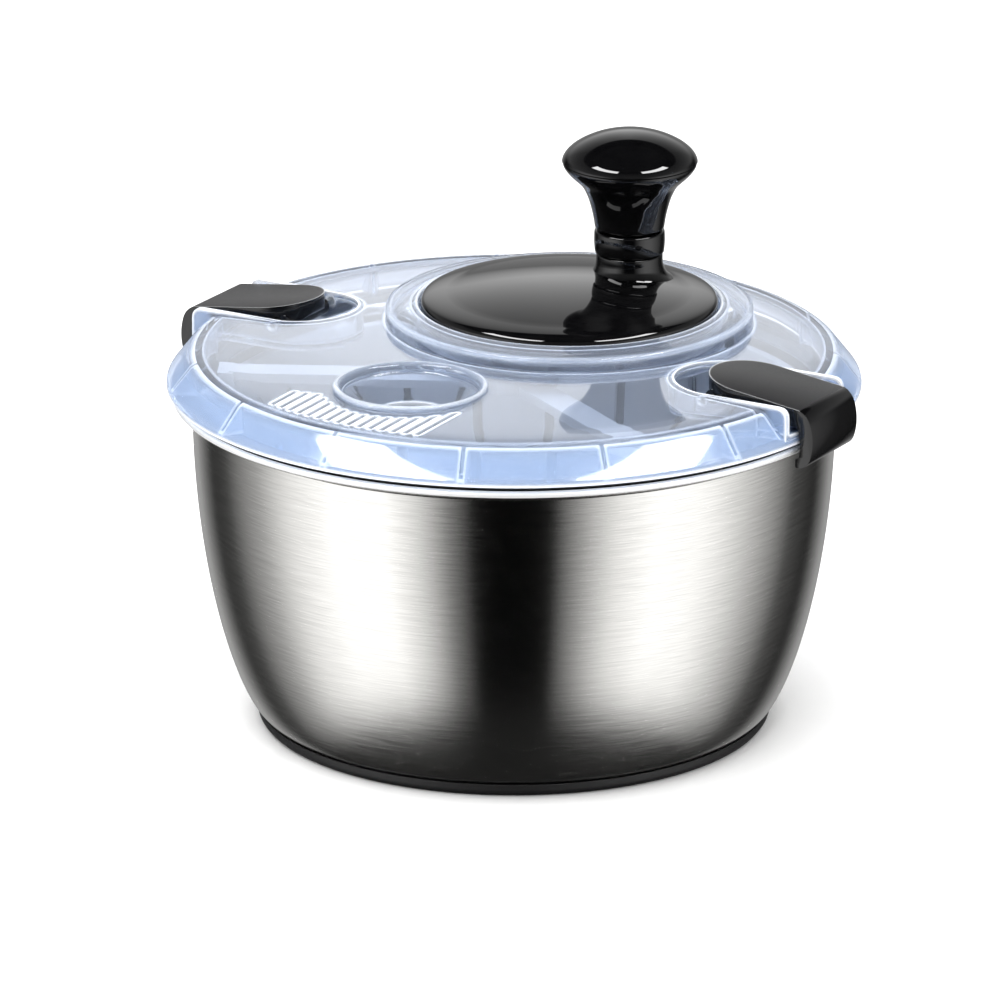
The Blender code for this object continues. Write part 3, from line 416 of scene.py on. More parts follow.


# %% [markdown]
# ## One tree for everything that repeats
# Slots, ribs and lugs are one shape repeated round an axis or along a row. A Geometry Nodes tree makes the
# copies: it lays out points, turns one copy of the shape at each, and makes them real. Its inputs are the number of
# copies, the first angle, the angle from one to the next, and the step from one to the next.


# %% Build the tree for copies
def tree_for_copies():
    tree = bpy.data.node_groups.new("copies_round_or_along", "GeometryNodeTree")
    for name, kind in (
        ("Shape", "Geometry"),
        ("Count", "Int"),
        ("First angle", "Float"),
        ("Angle between", "Float"),
        ("Step", "Vector"),
        ("Finish", "Material"),
    ):
        tree.interface.new_socket(name, in_out="INPUT", socket_type="NodeSocket" + kind)
    tree.interface.new_socket("Copies", in_out="OUTPUT", socket_type="NodeSocketGeometry")
    given = add(tree, "NodeGroupInput").outputs
    number = add(tree, "GeometryNodeInputIndex").outputs[0]
    factors = {0: number, 1: given["Angle between"], 2: given["First angle"]}
    angle = add(tree, "ShaderNodeMath", factors, operation="MULTIPLY_ADD")
    turn = add(tree, "ShaderNodeCombineXYZ", {"Z": angle.outputs[0]})
    step = add(tree, "ShaderNodeVectorMath", {0: given["Step"], "Scale": number}, operation="SCALE")
    points = add(tree, "GeometryNodePoints", {"Count": given["Count"], "Position": step.outputs[0]})
    placed = add(
        tree,
        "GeometryNodeInstanceOnPoints",
        {"Points": points.outputs[0], "Instance": given["Shape"], "Rotation": turn.outputs[0]},
    )
    real = add(tree, "GeometryNodeRealizeInstances", {"Geometry": placed.outputs[0]})
    painted = add(tree, "GeometryNodeSetMaterial", {"Geometry": real.outputs[0], "Material": given["Finish"]})
    add(tree, "NodeGroupOutput", {"Copies": painted.outputs[0]})
    return tree


COPIES = tree_for_copies()


def repeated(obj, count, first=0.0, between=0.0, step=(0.0, 0.0, 0.0)):
    """The object as a row or a ring of copies of itself, made real."""
    values = {
        "Count": count,
        "First angle": float(first),
        "Angle between": float(between),
        "Step": [s * MM for s in step],
        "Finish": obj.data.materials[0],
    }
    modifier = obj.modifiers.new("copies", "NODES")
    modifier.node_group = COPIES
    for item in COPIES.interface.items_tree:
        if item.in_out == "INPUT" and item.name in values:
            modifier[item.identifier] = values[item.name]
    return baked(obj)


def bar(name, low, high, material):
    """A plain bar between two corners: stock for ribs and for cutters."""
    (x0, y0, z0), (x1, y1, z1) = low, high
    return extruded(name, [(x0, y0), (x1, y0), (x1, y1), (x0, y1)], z0, z1, material)


def slot_bar(name, x0, x1, half, low, high, material, steps=8):
    """A bar with round ends, as a slot's cutter: its plan is a long loop."""
    ends = [math.radians(-90 + 180 * i / steps) for i in range(steps + 1)]
    outline = [(x1 - half + half * math.cos(a), half * math.sin(a)) for a in ends]
    outline += [(x0 + half - half * math.cos(a), -half * math.sin(a)) for a in ends]
    return extruded(name, outline, low, high, material)


print("copies tree:", len(COPIES.nodes), "nodes")

# %% [markdown]
# ## The bowl
# One sheet of 0.8 mm steel, spun to shape: a flat base, a short curve, a wall that rises steeply and leans out a
# little, and a rolled rim that stiffens it. The wall's outline follows one formula, so it is one smooth curve with
# no joints, and the inside is the same curve moved in by the sheet's thickness.


# %% Spin the bowl
FOOT_R = extent("base_pad")[1][0] - 0.6
MOUTH_R, MOUTH_Z, BEAD_R = LID_R - 9.6, RIM_Z - 7.9, LID_R - 1.8
SHEET = 0.8  # thickness of the steel


def bowl_outside(steps=40):
    z = BOWL_BOTTOM_Z
    points = [(0, z), (FOOT_R - 30, z), (FOOT_R - 9, z), (FOOT_R - 5, z + 0.3), (FOOT_R - 2, z + 1.2)]
    points.append((FOOT_R, z + 2.7))
    for i in range(1, steps + 1):
        t = (i / steps) ** 2
        lean = (1 - (1 - t) ** 2) ** 0.72
        points.append((FOOT_R + (MOUTH_R - FOOT_R) * lean, z + 2.7 + (MOUTH_Z - z - 2.7) * t))
    return points


def moved_in(points, thick):
    """Points moved by the sheet's thickness towards the inside."""
    made = []
    for i, point in enumerate(points):
        before, after = points[max(i - 1, 0)], points[min(i + 1, len(points) - 1)]
        run, rise = after[0] - before[0], after[1] - before[1]
        length = math.hypot(run, rise)
        made.append((point[0] - thick * rise / length, point[1] + thick * run / length))
    return made


outside = bowl_outside()
inside = moved_in(outside, SHEET)
inside[0] = (0, BOWL_BOTTOM_Z + SHEET)
top = BEAD_TOP_Z
rolled = [
    (MOUTH_R + 1.4, MOUTH_Z + 1.7, 1.2),
    (BEAD_R - 1.2, top - 3.2, 1.0),
    (BEAD_R, top - 2.0, 0.7),
    (BEAD_R, top - 0.9, 0.6),
    (BEAD_R - 1.4, top, 0.9),
    (MOUTH_R + 2.6, top, 1.2),
    (MOUTH_R + 0.1, top - 2.9, 1.2),
]
bowl = turned("bowl_shell", outside + rolled + inside[::-1], STEEL, 256)
bowl.data.materials.append(RIM_HIGHLIGHT_STEEL)
# Painted highlight: the top and outer side of the rolled rim take the bright rim finish, and its underside stays
# brushed.
for face in bowl.data.polygons:
    x, y, z = face.center / MM
    face.material_index = int(math.hypot(x, y) > BEAD_R - 1.6 and z > top - 2.5)
stands_for(bowl, "bowl", "bowl_steel", "bowl")

# %% [markdown]
# ## The foot and the gasket
# A silicone ring is pressed over the bowl's base, so it grips the table. The gasket sits between the lid and the
# rolled rim, and shows as a thin black line. Both are plain rings with soft edges.

# %% Turn the foot and the gasket
pad_inner_r = 62
pad = [
    (pad_inner_r, 2.4, 0.4),
    (FOOT_R - 9, 2.4),
    (FOOT_R - 4.8, 2.7),
    (FOOT_R - 1.7, 3.6),
    (FOOT_R - 0.1, 4.9, 0.3),
    (FOOT_R + 0.6, 4.9, 0.4),
    (FOOT_R + 0.4, 2.2, 0.8),
    (FOOT_R - 1.3, 0, 1.2),
    (pad_inner_r, 0, 0.6),
]
stands_for(turned("foot_ring", pad, SILICONE), "bowl", "silicone", "base_pad")
low, high = extent("lid_gasket")[0][2], extent("lid_gasket")[1][2]
seal_in, seal_out = LID_R - 10.8, LID_R - 3.2
gasket = [(seal_in, high, 0.4), (seal_out, high, 0.4), (seal_out, low, 0.4), (seal_in, low, 0.4)]
stands_for(turned("lid_seal", gasket, SILICONE), "lid", "silicone", "lid_gasket")

# %% [markdown]
# ## The basket
# A thin frosted shell with a rolled edge, upright slots in its wall for the water, and more slots in its floor. The
# slots are cut with one rounded bar that the copies tree repeats round the axis. Three lugs stand on the rim, where
# the drive's arms push the basket round.

# %% Mould the basket
floor_z, foot_r = 17.8, FOOT_R + 0.5
flare, height = BASKET_R - foot_r, BASKET_RIM_Z - floor_z
curve = [(0, 0.02), (3.5 / 14, 0.12), (9 / 14, 0.4), (12 / 14, 0.69), (1, 0.976)]
wall = [(foot_r + flare * out, floor_z + height * up) for out, up in curve]
wall_in = [(r - 1.8, z) for r, z in wall]
soft = [(r, z, 12) for r, z in wall[1:-1]]
soft_in = [(r, z, 12) for r, z in wall_in[1:-1]]
section = (
    [(0, floor_z + 3.7), (10, floor_z + 3.7, 1.5), (12, floor_z + 2.2), (foot_r - 5, floor_z, 3)]
    + [wall_in[0]]
    + soft_in
    + [wall_in[-1], (BASKET_R - 1, BASKET_RIM_Z, 0.6), (BASKET_R + 2.7, BASKET_RIM_Z, 0.7)]
    + [(BASKET_R + 2.7, BASKET_RIM_Z - 1.6, 0.5), wall[-1]]
    + soft[::-1]
    + [wall[0], (foot_r - 2.5, floor_z - 1.8, 1.5), (10, floor_z + 0.4, 2)]
    + [(10, 8, 0.4), (6.9, 8, 0.4), (6.9, 19.4), (0, 19.4)]
)
basket = turned("basket_shell", section, FROSTED, 144)
middle_z = (floor_z + BASKET_RIM_Z) / 2
slot_length = height - 32
wall_slot = slot_bar("wall_slots", -slot_length / 2, slot_length / 2, 2, BASKET_R - 30, BASKET_R + 10, FROSTED)
stand_up = Matrix.Translation((0, 0, middle_z * MM)) @ Matrix.Rotation(math.radians(90), 4, "Y")
moved(wall_slot, stand_up)
combine(basket, "DIFFERENCE", repeated(wall_slot, 24, math.pi / 24, math.pi / 12))
floor_slot = slot_bar("floor_slots", 30, FOOT_R - 15.5, 2, floor_z - 6, floor_z + 6, FROSTED)
combine(basket, "DIFFERENCE", repeated(floor_slot, 12, math.pi / 12, math.pi / 6))
lug = bar("lugs", (BASKET_R - 0.6, -4, BASKET_RIM_Z - 1), (BASKET_R + 1.6, 4, BASKET_RIM_Z + 6.3), FROSTED)
combine(basket, "UNION", repeated(lug, 3, math.radians(57), math.radians(120)))
stands_for(basket, "basket", "basket_plastic", "basket")

# %% [markdown]
# ## The lid
# One clear moulding: a shallow plate with a sloping edge, a ring that drops into the bowl, ribs under the slope, a
# drum for the crank, a feed funnel, drain slots and two pockets for the latches. Turned parts that overlap are
# joined, and then the openings are cut. Joining matters here, because any wall left inside a clear part would show.


# %% Turn the lid's shell and add its ribs
def plate_top(r):
    """Height of the plate's top face: nearly flat, and a little lower towards the edge."""
    return PLATE_Z - 0.2 * min(r / 60, 1) ** 2 - 2.4 * max((r - 60) / 58, 0) ** 1.3


shell = [(0, PLATE_Z)] + [(r, plate_top(r)) for r in range(6, 119, 7)]
shell += [
    (LID_R - 10.4, PLATE_Z - 3.1, 1.2),
    (LID_R - 8.2, PLATE_Z - 4.3, 1.2),
    (LID_R, RIM_Z + 1.6, 0.9),
    (LID_R, RIM_Z, 0.3),
    (LID_R - 1.6, RIM_Z, 0.3),
    (LID_R - 1.9, RIM_Z + 1.2, 0.4),
    (LID_R - 9.6, RIM_Z + 10.5, 0.6),
    (LID_R - 11.4, RIM_Z + 11.1, 0.3),
    (LID_R - 11.7, RIM_Z - 7.9, 0.5),
    (LID_R - 13.6, RIM_Z - 7.9, 0.5),
    (LID_R - 13.8, RIM_Z + 10.9, 0.5),
]
shell += [(r, plate_top(r) - 2.4) for r in range(111, 5, -7)] + [(0, PLATE_Z - 2.4)]
lid = turned("lid_shell", shell, CLEAR, 192)

rib_side = [
    (LID_R - 12.5, RIM_Z + 0.1),
    (LID_R - 1.2, RIM_Z + 0.1),
    (LID_R - 9.2, RIM_Z + 11.1),
    (LID_R - 12.5, RIM_Z + 11.6),
]
rib = extruded("ribs", rib_side, -0.8, 0.8, CLEAR)
moved(rib, Matrix.Rotation(math.radians(90), 4, "X"))
rib_count = 15
combine(lid, "UNION", repeated(rib, rib_count, math.radians(-98.8), math.radians(24)))
print("lid shell with", rib_count, "ribs")

# %% [markdown]
# ### The drum
# A round tray for the crank's disc, set off centre. Its well wall stands round the disc, and a flat ring slopes from
# there to an outer wall. The plate is opened first, so that the tray's floor is all there is under the disc.


# %% Join the drum
def plug(name, radius, bottom, sides, axis):
    """A round cutter that reaches up past the lid."""
    section = [(0, ABOVE_ALL), (radius, ABOVE_ALL), (radius, bottom), (0, bottom)]
    return turned(name, section, CLEAR, sides, axis)


UNDER_PLATE = 120  # a height well under the lid's plate
combine(lid, "DIFFERENCE", plug("drum_opening", DRUM_R - 1, UNDER_PLATE, 160, CRANK))
under = FLOOR_Z - 2.2
tray = [
    (0, FLOOR_Z),
    (WELL_R, FLOOR_Z, 0.5),
    (WELL_R, DRUM_TOP_Z, 0.7),
    (WELL_R + 1.6, DRUM_TOP_Z - 0.05, 0.7),
    (DRUM_R - 0.3, DRUM_TOP_Z - 1.5, 1.3),
    (DRUM_R, under, 0.3),
    (DRUM_R - 2, under, 0.3),
    (DRUM_R - 2, DRUM_TOP_Z - 3.4, 0.8),
    (WELL_R + 2, DRUM_TOP_Z - 2.2, 0.6),
    (WELL_R + 2, under, 0.4),
    (0, under),
]
combine(lid, "UNION", turned("drum", tray, CLEAR, 160, CRANK))
print("drum radius", round(DRUM_R, 1))

# %% [markdown]
# ### The feed funnel and the drain slots
# The funnel takes oil or water while the basket turns. It has a rounded lip that stands a little proud. Beside it a
# comb of parallel slots drains rinsing water: a row of bars makes the cutter, kept to the comb's own area.

# %% Join the funnel and cut the slots
feed = math.radians(-123.0)
feed_r, funnel_r, throat_r = LID_R - 60.5, 29.0, 13.2
funnel_at = (feed_r * math.cos(feed), feed_r * math.sin(feed))
combine(lid, "DIFFERENCE", plug("funnel_opening", funnel_r - 1.5, UNDER_PLATE, 96, funnel_at))
lip = PLATE_Z + 0.8
cone = [
    (funnel_r - 2.9, lip - 0.5, 0.8),
    (funnel_r - 1.6, lip + 0.25, 0.7),
    (funnel_r - 0.1, lip - 0.1, 0.7),
    (funnel_r, lip - 2.6, 0.6),
    (throat_r + 3.2, lip - 12.0, 1.2),
    (throat_r + 1.4, lip - 12.8, 0.4),
    (throat_r, lip - 12.8, 0.3),
    (throat_r, lip - 11.2, 0.4),
    (throat_r + 2.2, lip - 10.4, 1.2),
    (funnel_r - 4.0, lip - 3.4, 1.0),
]
combine(lid, "UNION", turned("funnel", cone, CLEAR, 96, funnel_at))

first, pitch, count = -35.0, 4.63, 15
slots = bar("comb_slots", (60, first - 1.1, UNDER_PLATE), (LID_R, first + 1.1, ABOVE_ALL), CLEAR)
repeated(slots, count, step=(0, pitch, 0))
sides = [first - 2 + i * (pitch * (count - 1) + 4) / 60 for i in range(61)]
by_funnel = [feed_r + math.sqrt(max((funnel_r + 4.1) ** 2 - t * t, 0)) for t in sides]
inner = [max(near, LID_R - 42 - 0.15 * t) for near, t in zip(by_funnel, sides)]
outer = [math.sqrt((LID_R - 15.2) ** 2 - t * t) for t in sides]
area = list(zip(outer, sides)) + list(zip(inner, sides))[::-1]
comb_low, comb_high = 130, 170
combine(slots, "INTERSECT", extruded("comb_area", area, comb_low, comb_high, CLEAR))
combine(lid, "DIFFERENCE", moved(slots, Matrix.Rotation(feed, 4, "Z")))
print("comb:", count, "slots")

# %% [markdown]
# ### The latch pockets
# Each latch swings in a pocket with a round inner end and thin walls. The pocket's body is joined to the lid, with
# its outer corner rounded to follow the lid's edge, and then its space and the bore for the hinge pin are cut.

# %% Join the pockets and cut their spaces
latch_half, latch_tip_r = 17.4, LID_R - 45.0
pocket_half, pocket_tip_r, pocket_floor = latch_half + 3.2, LID_R - 59.3, RIM_Z + 4.4
hinge_r, hinge_z, pin_bore_r = LID_R - 38.0, RIM_Z + 11.3, 1.85


def tongue(half, end_centre, outer, steps=28):
    """The plan of a strip along +X with a round end towards the axis."""
    ends = [math.radians(90 + 180 * i / steps) for i in range(steps + 1)]
    return [(outer, half)] + [(end_centre + half * math.cos(a), half * math.sin(a)) for a in ends] + [(outer, -half)]


def cross_pin(name, radius, half, material, spot, sides=32):
    """A round bar across the radius, at an (outward, height) spot."""
    turns = [2 * math.pi * i / sides for i in range(sides)]
    ring = [(radius * math.cos(a), radius * math.sin(a)) for a in turns]
    pin = extruded(name, ring, -half, half, material)
    return moved(pin, Matrix.Translation((spot[0] * MM, 0, spot[1] * MM)) @ Matrix.Rotation(math.radians(90), 4, "X"))


for side, angle in LATCH_ANGLES.items():
    turn = Matrix.Rotation(angle, 4, "Z")
    end = pocket_tip_r + pocket_half
    low, high = pocket_floor - 2, PLATE_Z - 1.3
    body = extruded(f"{side}_pocket", tongue(pocket_half + 2.2, end, LID_R + 6), low, high, CLEAR)
    edge = [(0, high), (LID_R - 0.5, high, 4.2), (LID_R - 0.5, low), (0, low)]
    combine(body, "INTERSECT", turned("pocket_edge", edge, CLEAR, 192))
    combine(lid, "UNION", moved(body, turn))
    space = extruded(f"{side}_space", tongue(pocket_half, end, LID_R + 10), pocket_floor, PLATE_Z + 12, CLEAR)
    combine(lid, "DIFFERENCE", moved(space, turn))
    pin_bore = cross_pin(f"{side}_bore", pin_bore_r, pocket_half + 5.2, CLEAR, (hinge_r, hinge_z))
    combine(lid, "DIFFERENCE", moved(pin_bore, turn))
print("pockets at", [round(math.degrees(a)) for a in LATCH_ANGLES.values()], "degrees")

# %% [markdown]
# ### Bosses and bores
# Two bosses under the drum's floor hold the bushes of the shaft and the crank. Each is joined to the floor, and then
# its bore is cut right through both.

# %% Add the bosses and cut their bores
for name, axis, bush_r in (("shaft_bush", (0, 0), 6.0), ("crank_bush", CRANK, 8.0)):
    boss_r, boss_top, boss_low = bush_r + 3, FLOOR_Z - 1, extent(name)[0][2] + 0.3
    boss = [(0, boss_top), (boss_r, boss_top), (boss_r, boss_low, 0.5), (0, boss_low)]
    combine(lid, "UNION", turned(name + "_boss", boss, CLEAR, 48, axis))
    combine(lid, "DIFFERENCE", plug(name + "_bore", bush_r + 0.3, 100, 48, axis))
stands_for(lid, "lid", "clear_plastic", "lid")

# %% [markdown]
# ## The crank
# A low dome that turns in the drum, with a post for the knob. The dome and its skirt are one turned shell. The post
# stands off its axis on a flared foot, so it is a second turned shape, joined to the dome.


# %% Turn the crank's disc and post
def dome_z(r):
    """Height of the dome inside its shoulder."""
    return DRUM_TOP_Z + 8.4 - 0.0022 * r * r


skirt_in, hub_r, foot = DISC_R - 2.4, 7.0, FLOOR_Z + 12.5
shoulder_r = DISC_R - 10.4
disc_section = [(shoulder_r * i / 18, dome_z(shoulder_r * i / 18)) for i in range(19)]
disc_section += bend(disc_section[-1], (DISC_R - 2.0, DRUM_TOP_Z + 2.6), (DISC_R - 0.9, DRUM_TOP_Z + 1.7))
disc_section += [
    (DISC_R - 0.35, DRUM_TOP_Z + 0.9),
    (DISC_R, DRUM_TOP_Z + 0.3),
    (DISC_R, FLOOR_Z + 5.2, 0.4),
    (skirt_in, FLOOR_Z + 5.2, 0.4),
    (skirt_in, DRUM_TOP_Z - 2.4, 1.0),
]
disc_section += [(r, dome_z(r) - 2.6) for r in (48, 40, 32, 24, 16, hub_r)]
disc_section += [(hub_r, FLOOR_Z + 3.4), (5.0, FLOOR_Z + 3.4), (5.0, FLOOR_Z - 6.0), (2.2, FLOOR_Z - 6.0)]
disc_section += [(2.2, FLOOR_Z + 5.0), (0, FLOOR_Z + 5.0)]
disc = turned("crank_dome", disc_section, GLOSS, 192, CRANK)
post_r, neck_r = 12.7, 10.0
post = [
    (0, FLOOR_Z + 19.2),
    (3.3, FLOOR_Z + 19.2),
    (3.3, FLOOR_Z + 35.0),
    (neck_r, FLOOR_Z + 35.0, 0.4),
    (neck_r, COLLAR_Z - 0.3, 0.3),
    (post_r, COLLAR_Z - 0.3, 0.8),
    (post_r, foot + 8.5, 3.0),
    (post_r + 1.6, foot + 4.7, 2.0),
    (post_r + 4.6, foot + 2.6, 1.4),
    (post_r + 4.6, foot, 0.4),
    (0, foot),
]
combine(disc, "UNION", turned("crank_post", post, GLOSS, 96, KNOB))
stands_for(disc, "crank", "black_gloss", "crank_disc")

# %% [markdown]
# ## The collar, the grip and the cap
# The collar is a separate ring on the post. The grip is waisted so that fingers find it, and it spreads to carry the
# cap, a shallow dome that snaps in. All three are turned, with enough points along the curves to stay smooth.

# %% Turn the knob
collar = [
    (neck_r + 0.3, COLLAR_Z + 8.8, 0.3),
    (post_r + 0.7, COLLAR_Z + 8.8, 1.0),
    (post_r + 0.9, COLLAR_Z + 4.4, 2.0),
    (post_r + 0.5, COLLAR_Z, 0.6),
    (neck_r + 0.3, COLLAR_Z, 0.3),
]
stands_for(turned("post_ring", collar, GLOSS, 96, KNOB), "crank", "black_satin", "post_collar")

stem = [(-0.1, 25.8), (-0.8, 23.6), (-3.2, 20.8), (-6.7, 17.7), (-8.1, 15.9), (-9.9, 12.2), (-11.3, 7.3), (-12.1, 3.6)]
grip = [(KNOB_R - 2.4, GRIP_Z + 25.8)] + [(KNOB_R + out, GRIP_Z + up, 2.2) for out, up in stem]
grip += [(KNOB_R - 12.6, GRIP_Z, 0.6), (5.5, GRIP_Z, 0.3), (5.5, GRIP_Z + 17.8)]
grip += [(KNOB_R - 11.8, GRIP_Z + 17.8, 1.0), (KNOB_R - 5.3, GRIP_Z + 22.0)]
stands_for(turned("knob_stem", grip, GLOSS, 96, KNOB), "knob", "black_gloss", "knob_grip")

cap = [(i, CAP_Z + 11.8 - 0.0115 * i**2 - 0.000004 * i**4) for i in range(21)]
cap += bend(cap[-1], (KNOB_R - 0.6, CAP_Z + 3.4), (KNOB_R, CAP_Z))
cap += [(KNOB_R - 5.0, CAP_Z), (KNOB_R - 5.0, CAP_Z - 2.9, 0.4), (KNOB_R - 6.4, CAP_Z - 2.9, 0.4)]
cap += [(r, CAP_Z + 9.4 - 0.0135 * r * r) for r in (KNOB_R - 6.4, 14, 8)] + [(0, CAP_Z + 9.4)]
stands_for(turned("knob_dome", cap, GLOSS, 96, KNOB), "knob", "black_gloss", "knob_cap")

# %% [markdown]
# ## The latches
# Each latch is a lever with a round inner end, a flat top that slopes out, and a hook that comes down over the
# bowl's rim. Its side view is extruded across, trimmed to its plan, hollowed from below, and given a barrel for the
# hinge pin. A narrow bevel rounds its edges, and the bright line round the top is a painted highlight. The top is
# satin, and the rest is glossy.


# %% Build the latches
def latch_side():
    """The latch from the side: (outward, height) points."""
    r, z = LID_R, RIM_Z
    return eased(
        [
            (r - 45.0, z + 15.1, 0.8),
            (r - 45.0, z + 19.5),
            (r + 1.0, z + 13.3, 1.6),
            (r + 4.4, z + 10.4, 3.0),
            (r + 5.9, z + 4.6, 3.0),
            (r + 5.9, z - 1.2, 3.0),
            (r + 4.4, z - 6.6, 2.4),
            (r + 1.4, z - 8.9, 2.0),
            (r - 1.3, z - 8.7, 0.5),
            (r - 1.3, z - 5.5, 0.4),
            (r + 0.3, z - 4.7, 0.6),
            (r + 0.5, z + 1.1, 1.0),
            (r - 0.2, z + 6.3, 0.6),
            (r - 2.0, z + 7.1, 0.6),
            (r - 33.0, z + 9.4, 2.0),
            (r - 40.0, z + 10.1, 2.0),
            (r - 44.0, z + 13.5, 1.5),
        ],
        True,
    )


def latch_block(name, side_view, half):
    """A side view extruded across, and trimmed to a plan with a round inner end."""
    stock_half, under_hook = latch_half + 1, 90
    block = extruded(name, side_view, -stock_half, stock_half, GLOSS)
    moved(block, Matrix.Rotation(math.radians(90), 4, "X"))
    plan = tongue(half, latch_tip_r + latch_half, LID_R + 10)
    return combine(block, "INTERSECT", extruded("plan", plan, under_hook, ABOVE_ALL, GLOSS))


def make_latch(side, angle):
    latch = latch_block(f"{side}_lever", latch_side(), latch_half)
    edge = latch.modifiers.new("edge", "BEVEL")
    edge.width, edge.segments, edge.limit_method, edge.angle_limit = 0.7 * MM, 3, "ANGLE", math.radians(40)
    baked(latch)
    inner_side = [
        (LID_R - 52, RIM_Z + 17.8),
        (LID_R - 3.2, RIM_Z + 11.2),
        (LID_R - 2.2, RIM_Z + 9.0),
        (LID_R - 2.2, RIM_Z - 20),
        (LID_R - 52, RIM_Z - 20),
    ]
    combine(latch, "DIFFERENCE", latch_block("hollow", inner_side, latch_half - 2.2))
    combine(latch, "UNION", cross_pin("barrel", 3.4, latch_half - 3.4, GLOSS, (hinge_r, hinge_z)))
    combine(latch, "DIFFERENCE", cross_pin("pin_bore", pin_bore_r, latch_half + 5, GLOSS, (hinge_r, hinge_z)))
    moved(latch, Matrix.Rotation(angle, 4, "Z"))
    latch.data.materials.clear()
    latch.data.materials.append(GLOSS)
    latch.data.materials.append(SATIN)
    for face in latch.data.polygons:
        face.material_index = int(face.normal.z > 0.97 and face.center.z / MM > RIM_Z + 12.5)
    stands_for(latch, f"{side}_latch", "black_satin", f"{side}_latch")


for side, angle in LATCH_ANGLES.items():
    make_latch(side, angle)

# %% [markdown]
# ## The drive under the lid
# The CAD nodes for the gears, the shaft, the bushes, the pins and the screws already have their true shape, so
# each keeps its mesh and gets the finish of what it is made of.

# %% Finish the parts that keep their CAD shape
KEPT = {
    TURNED_STEEL: ["pivot_stud", "crank_washer", "crank_screw", "knob_axle", "knob_washer", "knob_nut"]
    + ["drive_shaft", "shaft_clip", "left_latch_pin", "right_latch_pin"],
    ACETAL: ["pivot_bush", "shaft_bush", "crank_bush", "ring_gear", "pinion", "knob_bush"],
    FROSTED: ["drive_spider"],
}
for finish, names in KEPT.items():
    for name in names:
        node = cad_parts[name]
        for slot in node.material_slots:
            slot.material = finish
        print(f"{name}: {finish.name}")

# %% [markdown]
# ## The studio
# Steel looks best between two tall soft boxes, with black card in front that gives it a dark stripe. Two short bright
# strips high up, at the left and the right, draw the streaks on the glossy black parts. The world plays all of that:
# a shiny surface sees the boxes, the cards and the strips by direction, and everything else sees plain white. The
# floor is plain pale card.


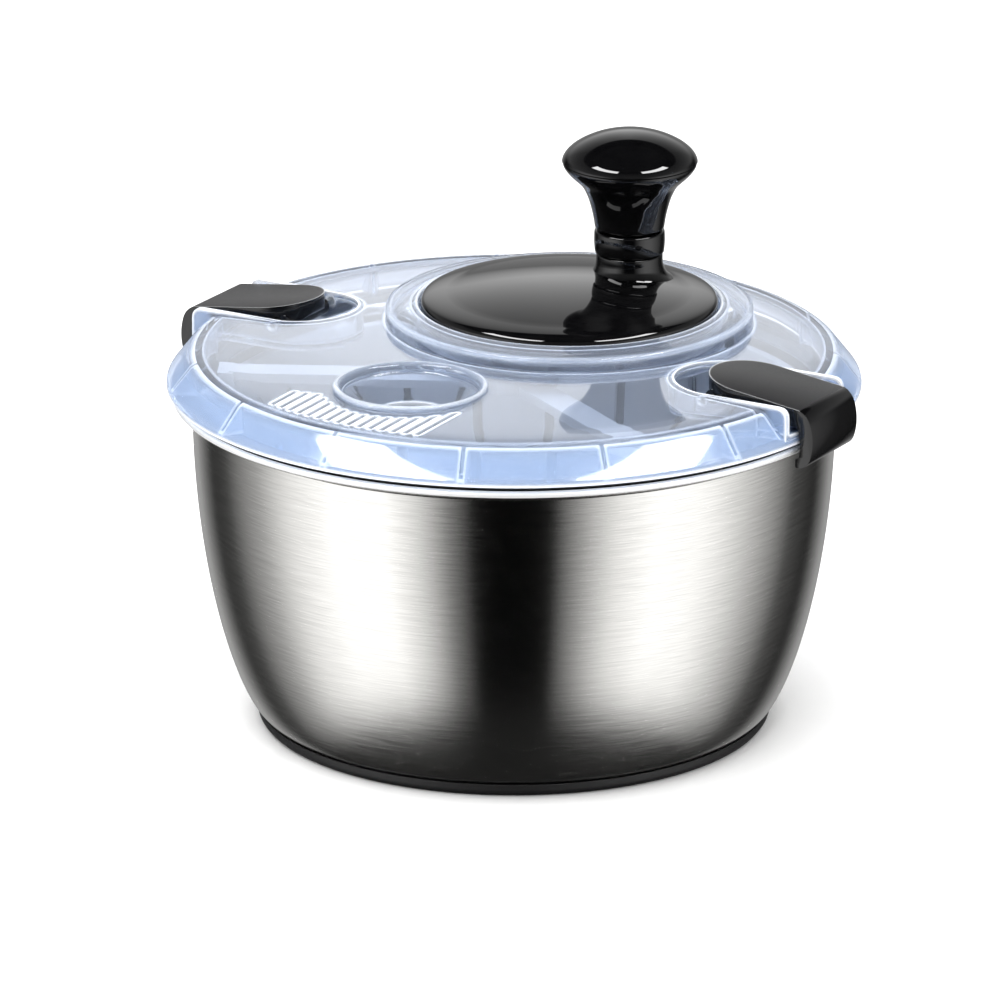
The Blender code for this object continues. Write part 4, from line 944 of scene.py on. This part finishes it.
# %% Light the studio
def studio_world():
    world = bpy.data.worlds.new("studio")
    bpy.context.scene.world = world
    world.use_nodes = True
    tree = world.node_tree
    way = add(tree, "ShaderNodeTexCoord").outputs["Generated"]
    parts = add(tree, "ShaderNodeSeparateXYZ", {0: way}).outputs
    front = add(tree, "ShaderNodeMath", {0: parts["Y"], 1: -1.0}, operation="MULTIPLY")
    azimuth = add(tree, "ShaderNodeMath", {0: parts["X"], 1: front.outputs[0]}, operation="ARCTAN2")
    factors = {0: azimuth.outputs[0], 1: 1 / (2 * math.pi), 2: 0.5}
    share = add(tree, "ShaderNodeMath", factors, operation="MULTIPLY_ADD").outputs[0]
    up = add(tree, "ShaderNodeMath", {0: parts["Z"]}, operation="ARCSINE")
    height = add(tree, "ShaderNodeMath", {0: up.outputs[0], 1: 180 / math.pi}, operation="MULTIPLY").outputs[0]

    def round_the_room(stops):
        """Brightness by direction: (degrees from the front, brightness from 0 to 1)."""
        ramp = add(tree, "ShaderNodeValToRGB", {"Fac": share})
        ramp.color_ramp.interpolation = "LINEAR"
        while len(ramp.color_ramp.elements) > 1:
            ramp.color_ramp.elements.remove(ramp.color_ramp.elements[-1])
        for i, (degrees, value) in enumerate(stops):
            spot = degrees / 360 + 0.5
            element = ramp.color_ramp.elements[0] if i == 0 else ramp.color_ramp.elements.new(spot)
            element.position, element.color = spot, (value, value, value, 1)
        return ramp.outputs["Color"]

    def blend(low, high, start, end):
        """Goes from one brightness to another between two heights, in degrees."""
        share_up = add(tree, "ShaderNodeMapRange", {"Value": height, "From Min": start, "From Max": end})
        return add(tree, "ShaderNodeMix", {0: share_up.outputs[0], 6: low, 7: high}, data_type="RGBA").outputs[2]

    level = round_the_room(
        [(-179, 0.2), (-160, 0.25), (-140, 0.02), (-127, 0.04), (-105, 0.3), (-88, 0.7), (-68, 1.0), (-48, 1.0)]
        + [(-35, 0.6), (-24, 0.17), (-15, 0.0), (14, 0.0), (24, 0.26), (38, 0.72), (54, 1.0), (72, 0.9), (94, 0.48)]
        + [(106, 0.27), (121, 0.05), (140, 0.01), (160, 0.22), (179, 0.2)]
    )
    right_half = [(30, 0.12), (60, 0.2), (100, 0.2), (145, 0.22), (160, 0.42), (172, 0.66), (179, 0.85)]
    above = round_the_room([(-degrees, value) for degrees, value in right_half[::-1]] + right_half)
    fade = blend((1, 1, 1, 1), (0.42, 0.42, 0.42, 1), 17, 40)
    factors = {0: 1.0, 6: above, 7: fade}
    backdrop = add(tree, "ShaderNodeMix", factors, data_type="RGBA", blend_type="MULTIPLY").outputs[2]
    strips = round_the_room(
        [(-179, 0.0), (-88, 0.0), (-86, 1.0), (-27, 1.0), (-25, 0.0), (24, 0.0), (26, 1.0), (86, 1.0), (88, 0.0)]
        + [(179, 0.0)]
    )
    ceiling = add(tree, "ShaderNodeVectorMath", {0: strips, 1: (11.0, 11.0, 11.0)}, operation="MULTIPLY").outputs[0]
    dark = (0.01, 0.01, 0.01, 1)
    seen = blend(dark, level, -52, -42)
    seen = blend(seen, backdrop, 6, 14)
    seen = blend(seen, dark, 40, 41.5)
    seen = blend(seen, ceiling, 42.5, 43)
    seen = blend(seen, dark, 53, 53.5)
    path = add(tree, "ShaderNodeLightPath").outputs
    boxes = add(tree, "ShaderNodeBackground", {"Color": seen, "Strength": 1.75})
    white = add(tree, "ShaderNodeBackground", {"Color": (1, 1, 1, 1), "Strength": 1.08})
    mixed = add(tree, "ShaderNodeMixShader", {0: path["Is Glossy Ray"], 1: white.outputs[0], 2: boxes.outputs[0]})
    link(tree, mixed.outputs[0], tree.nodes["World Output"].inputs["Surface"])
    world.cycles.sampling_method = "NONE"


studio_world()
lamp = bpy.data.lights.new("overhead_soft_box", "AREA")
lamp.shape, lamp.size, lamp.energy = "DISK", 2.4, 60.0
soft_box = bpy.data.objects.new("overhead_soft_box", lamp)
soft_box.location = (-0.3, -0.4, 2.2)
soft_box.rotation_euler = (math.radians(-10), math.radians(-8), 0)
soft_box.visible_glossy = soft_box.visible_transmission = False
bpy.context.scene.collection.objects.link(soft_box)
bpy.context.scene.view_settings.view_transform = "Standard"

card, card_tree, card_shader = new_finish("pale_card", 1.0, Specular_IOR_Level=0.0)
card_place = add(card_tree, "ShaderNodeTexCoord").outputs["Object"]
fibre = add(card_tree, "ShaderNodeTexNoise", {"Vector": card_place, "Scale": 40.0}).outputs["Fac"]
link(card_tree, two_tone(card_tree, fibre, "FAFAFA", "FDFDFD"), card_shader.inputs["Base Color"])
floor = turned("floor", [(0, 0), (600, 0), (3000, 0), (6000, 0), (6000, -4), (0, -4)], card, 64)
floor.visible_glossy = False
print("studio ready")

# %% [markdown]
# ## The camera
# It looks down at 18.3 degrees from 3.5 m with a long lens, which keeps the circles true.

# %% Place the camera
lens = bpy.data.cameras.new("camera")
lens.sensor_width, lens.lens, lens.clip_end = 36.0, 332.8, 20.0
camera = bpy.data.objects.new("camera", lens)
bpy.context.scene.collection.objects.link(camera)
tilt, away = math.radians(18.3), 3.5
target = Vector((-0.0053, 0, 0.0842))
camera.location = target + Vector((0, -math.cos(tilt), math.sin(tilt))) * away
camera.rotation_euler = (math.radians(90) - tilt, 0, 0)
bpy.context.scene.camera = camera
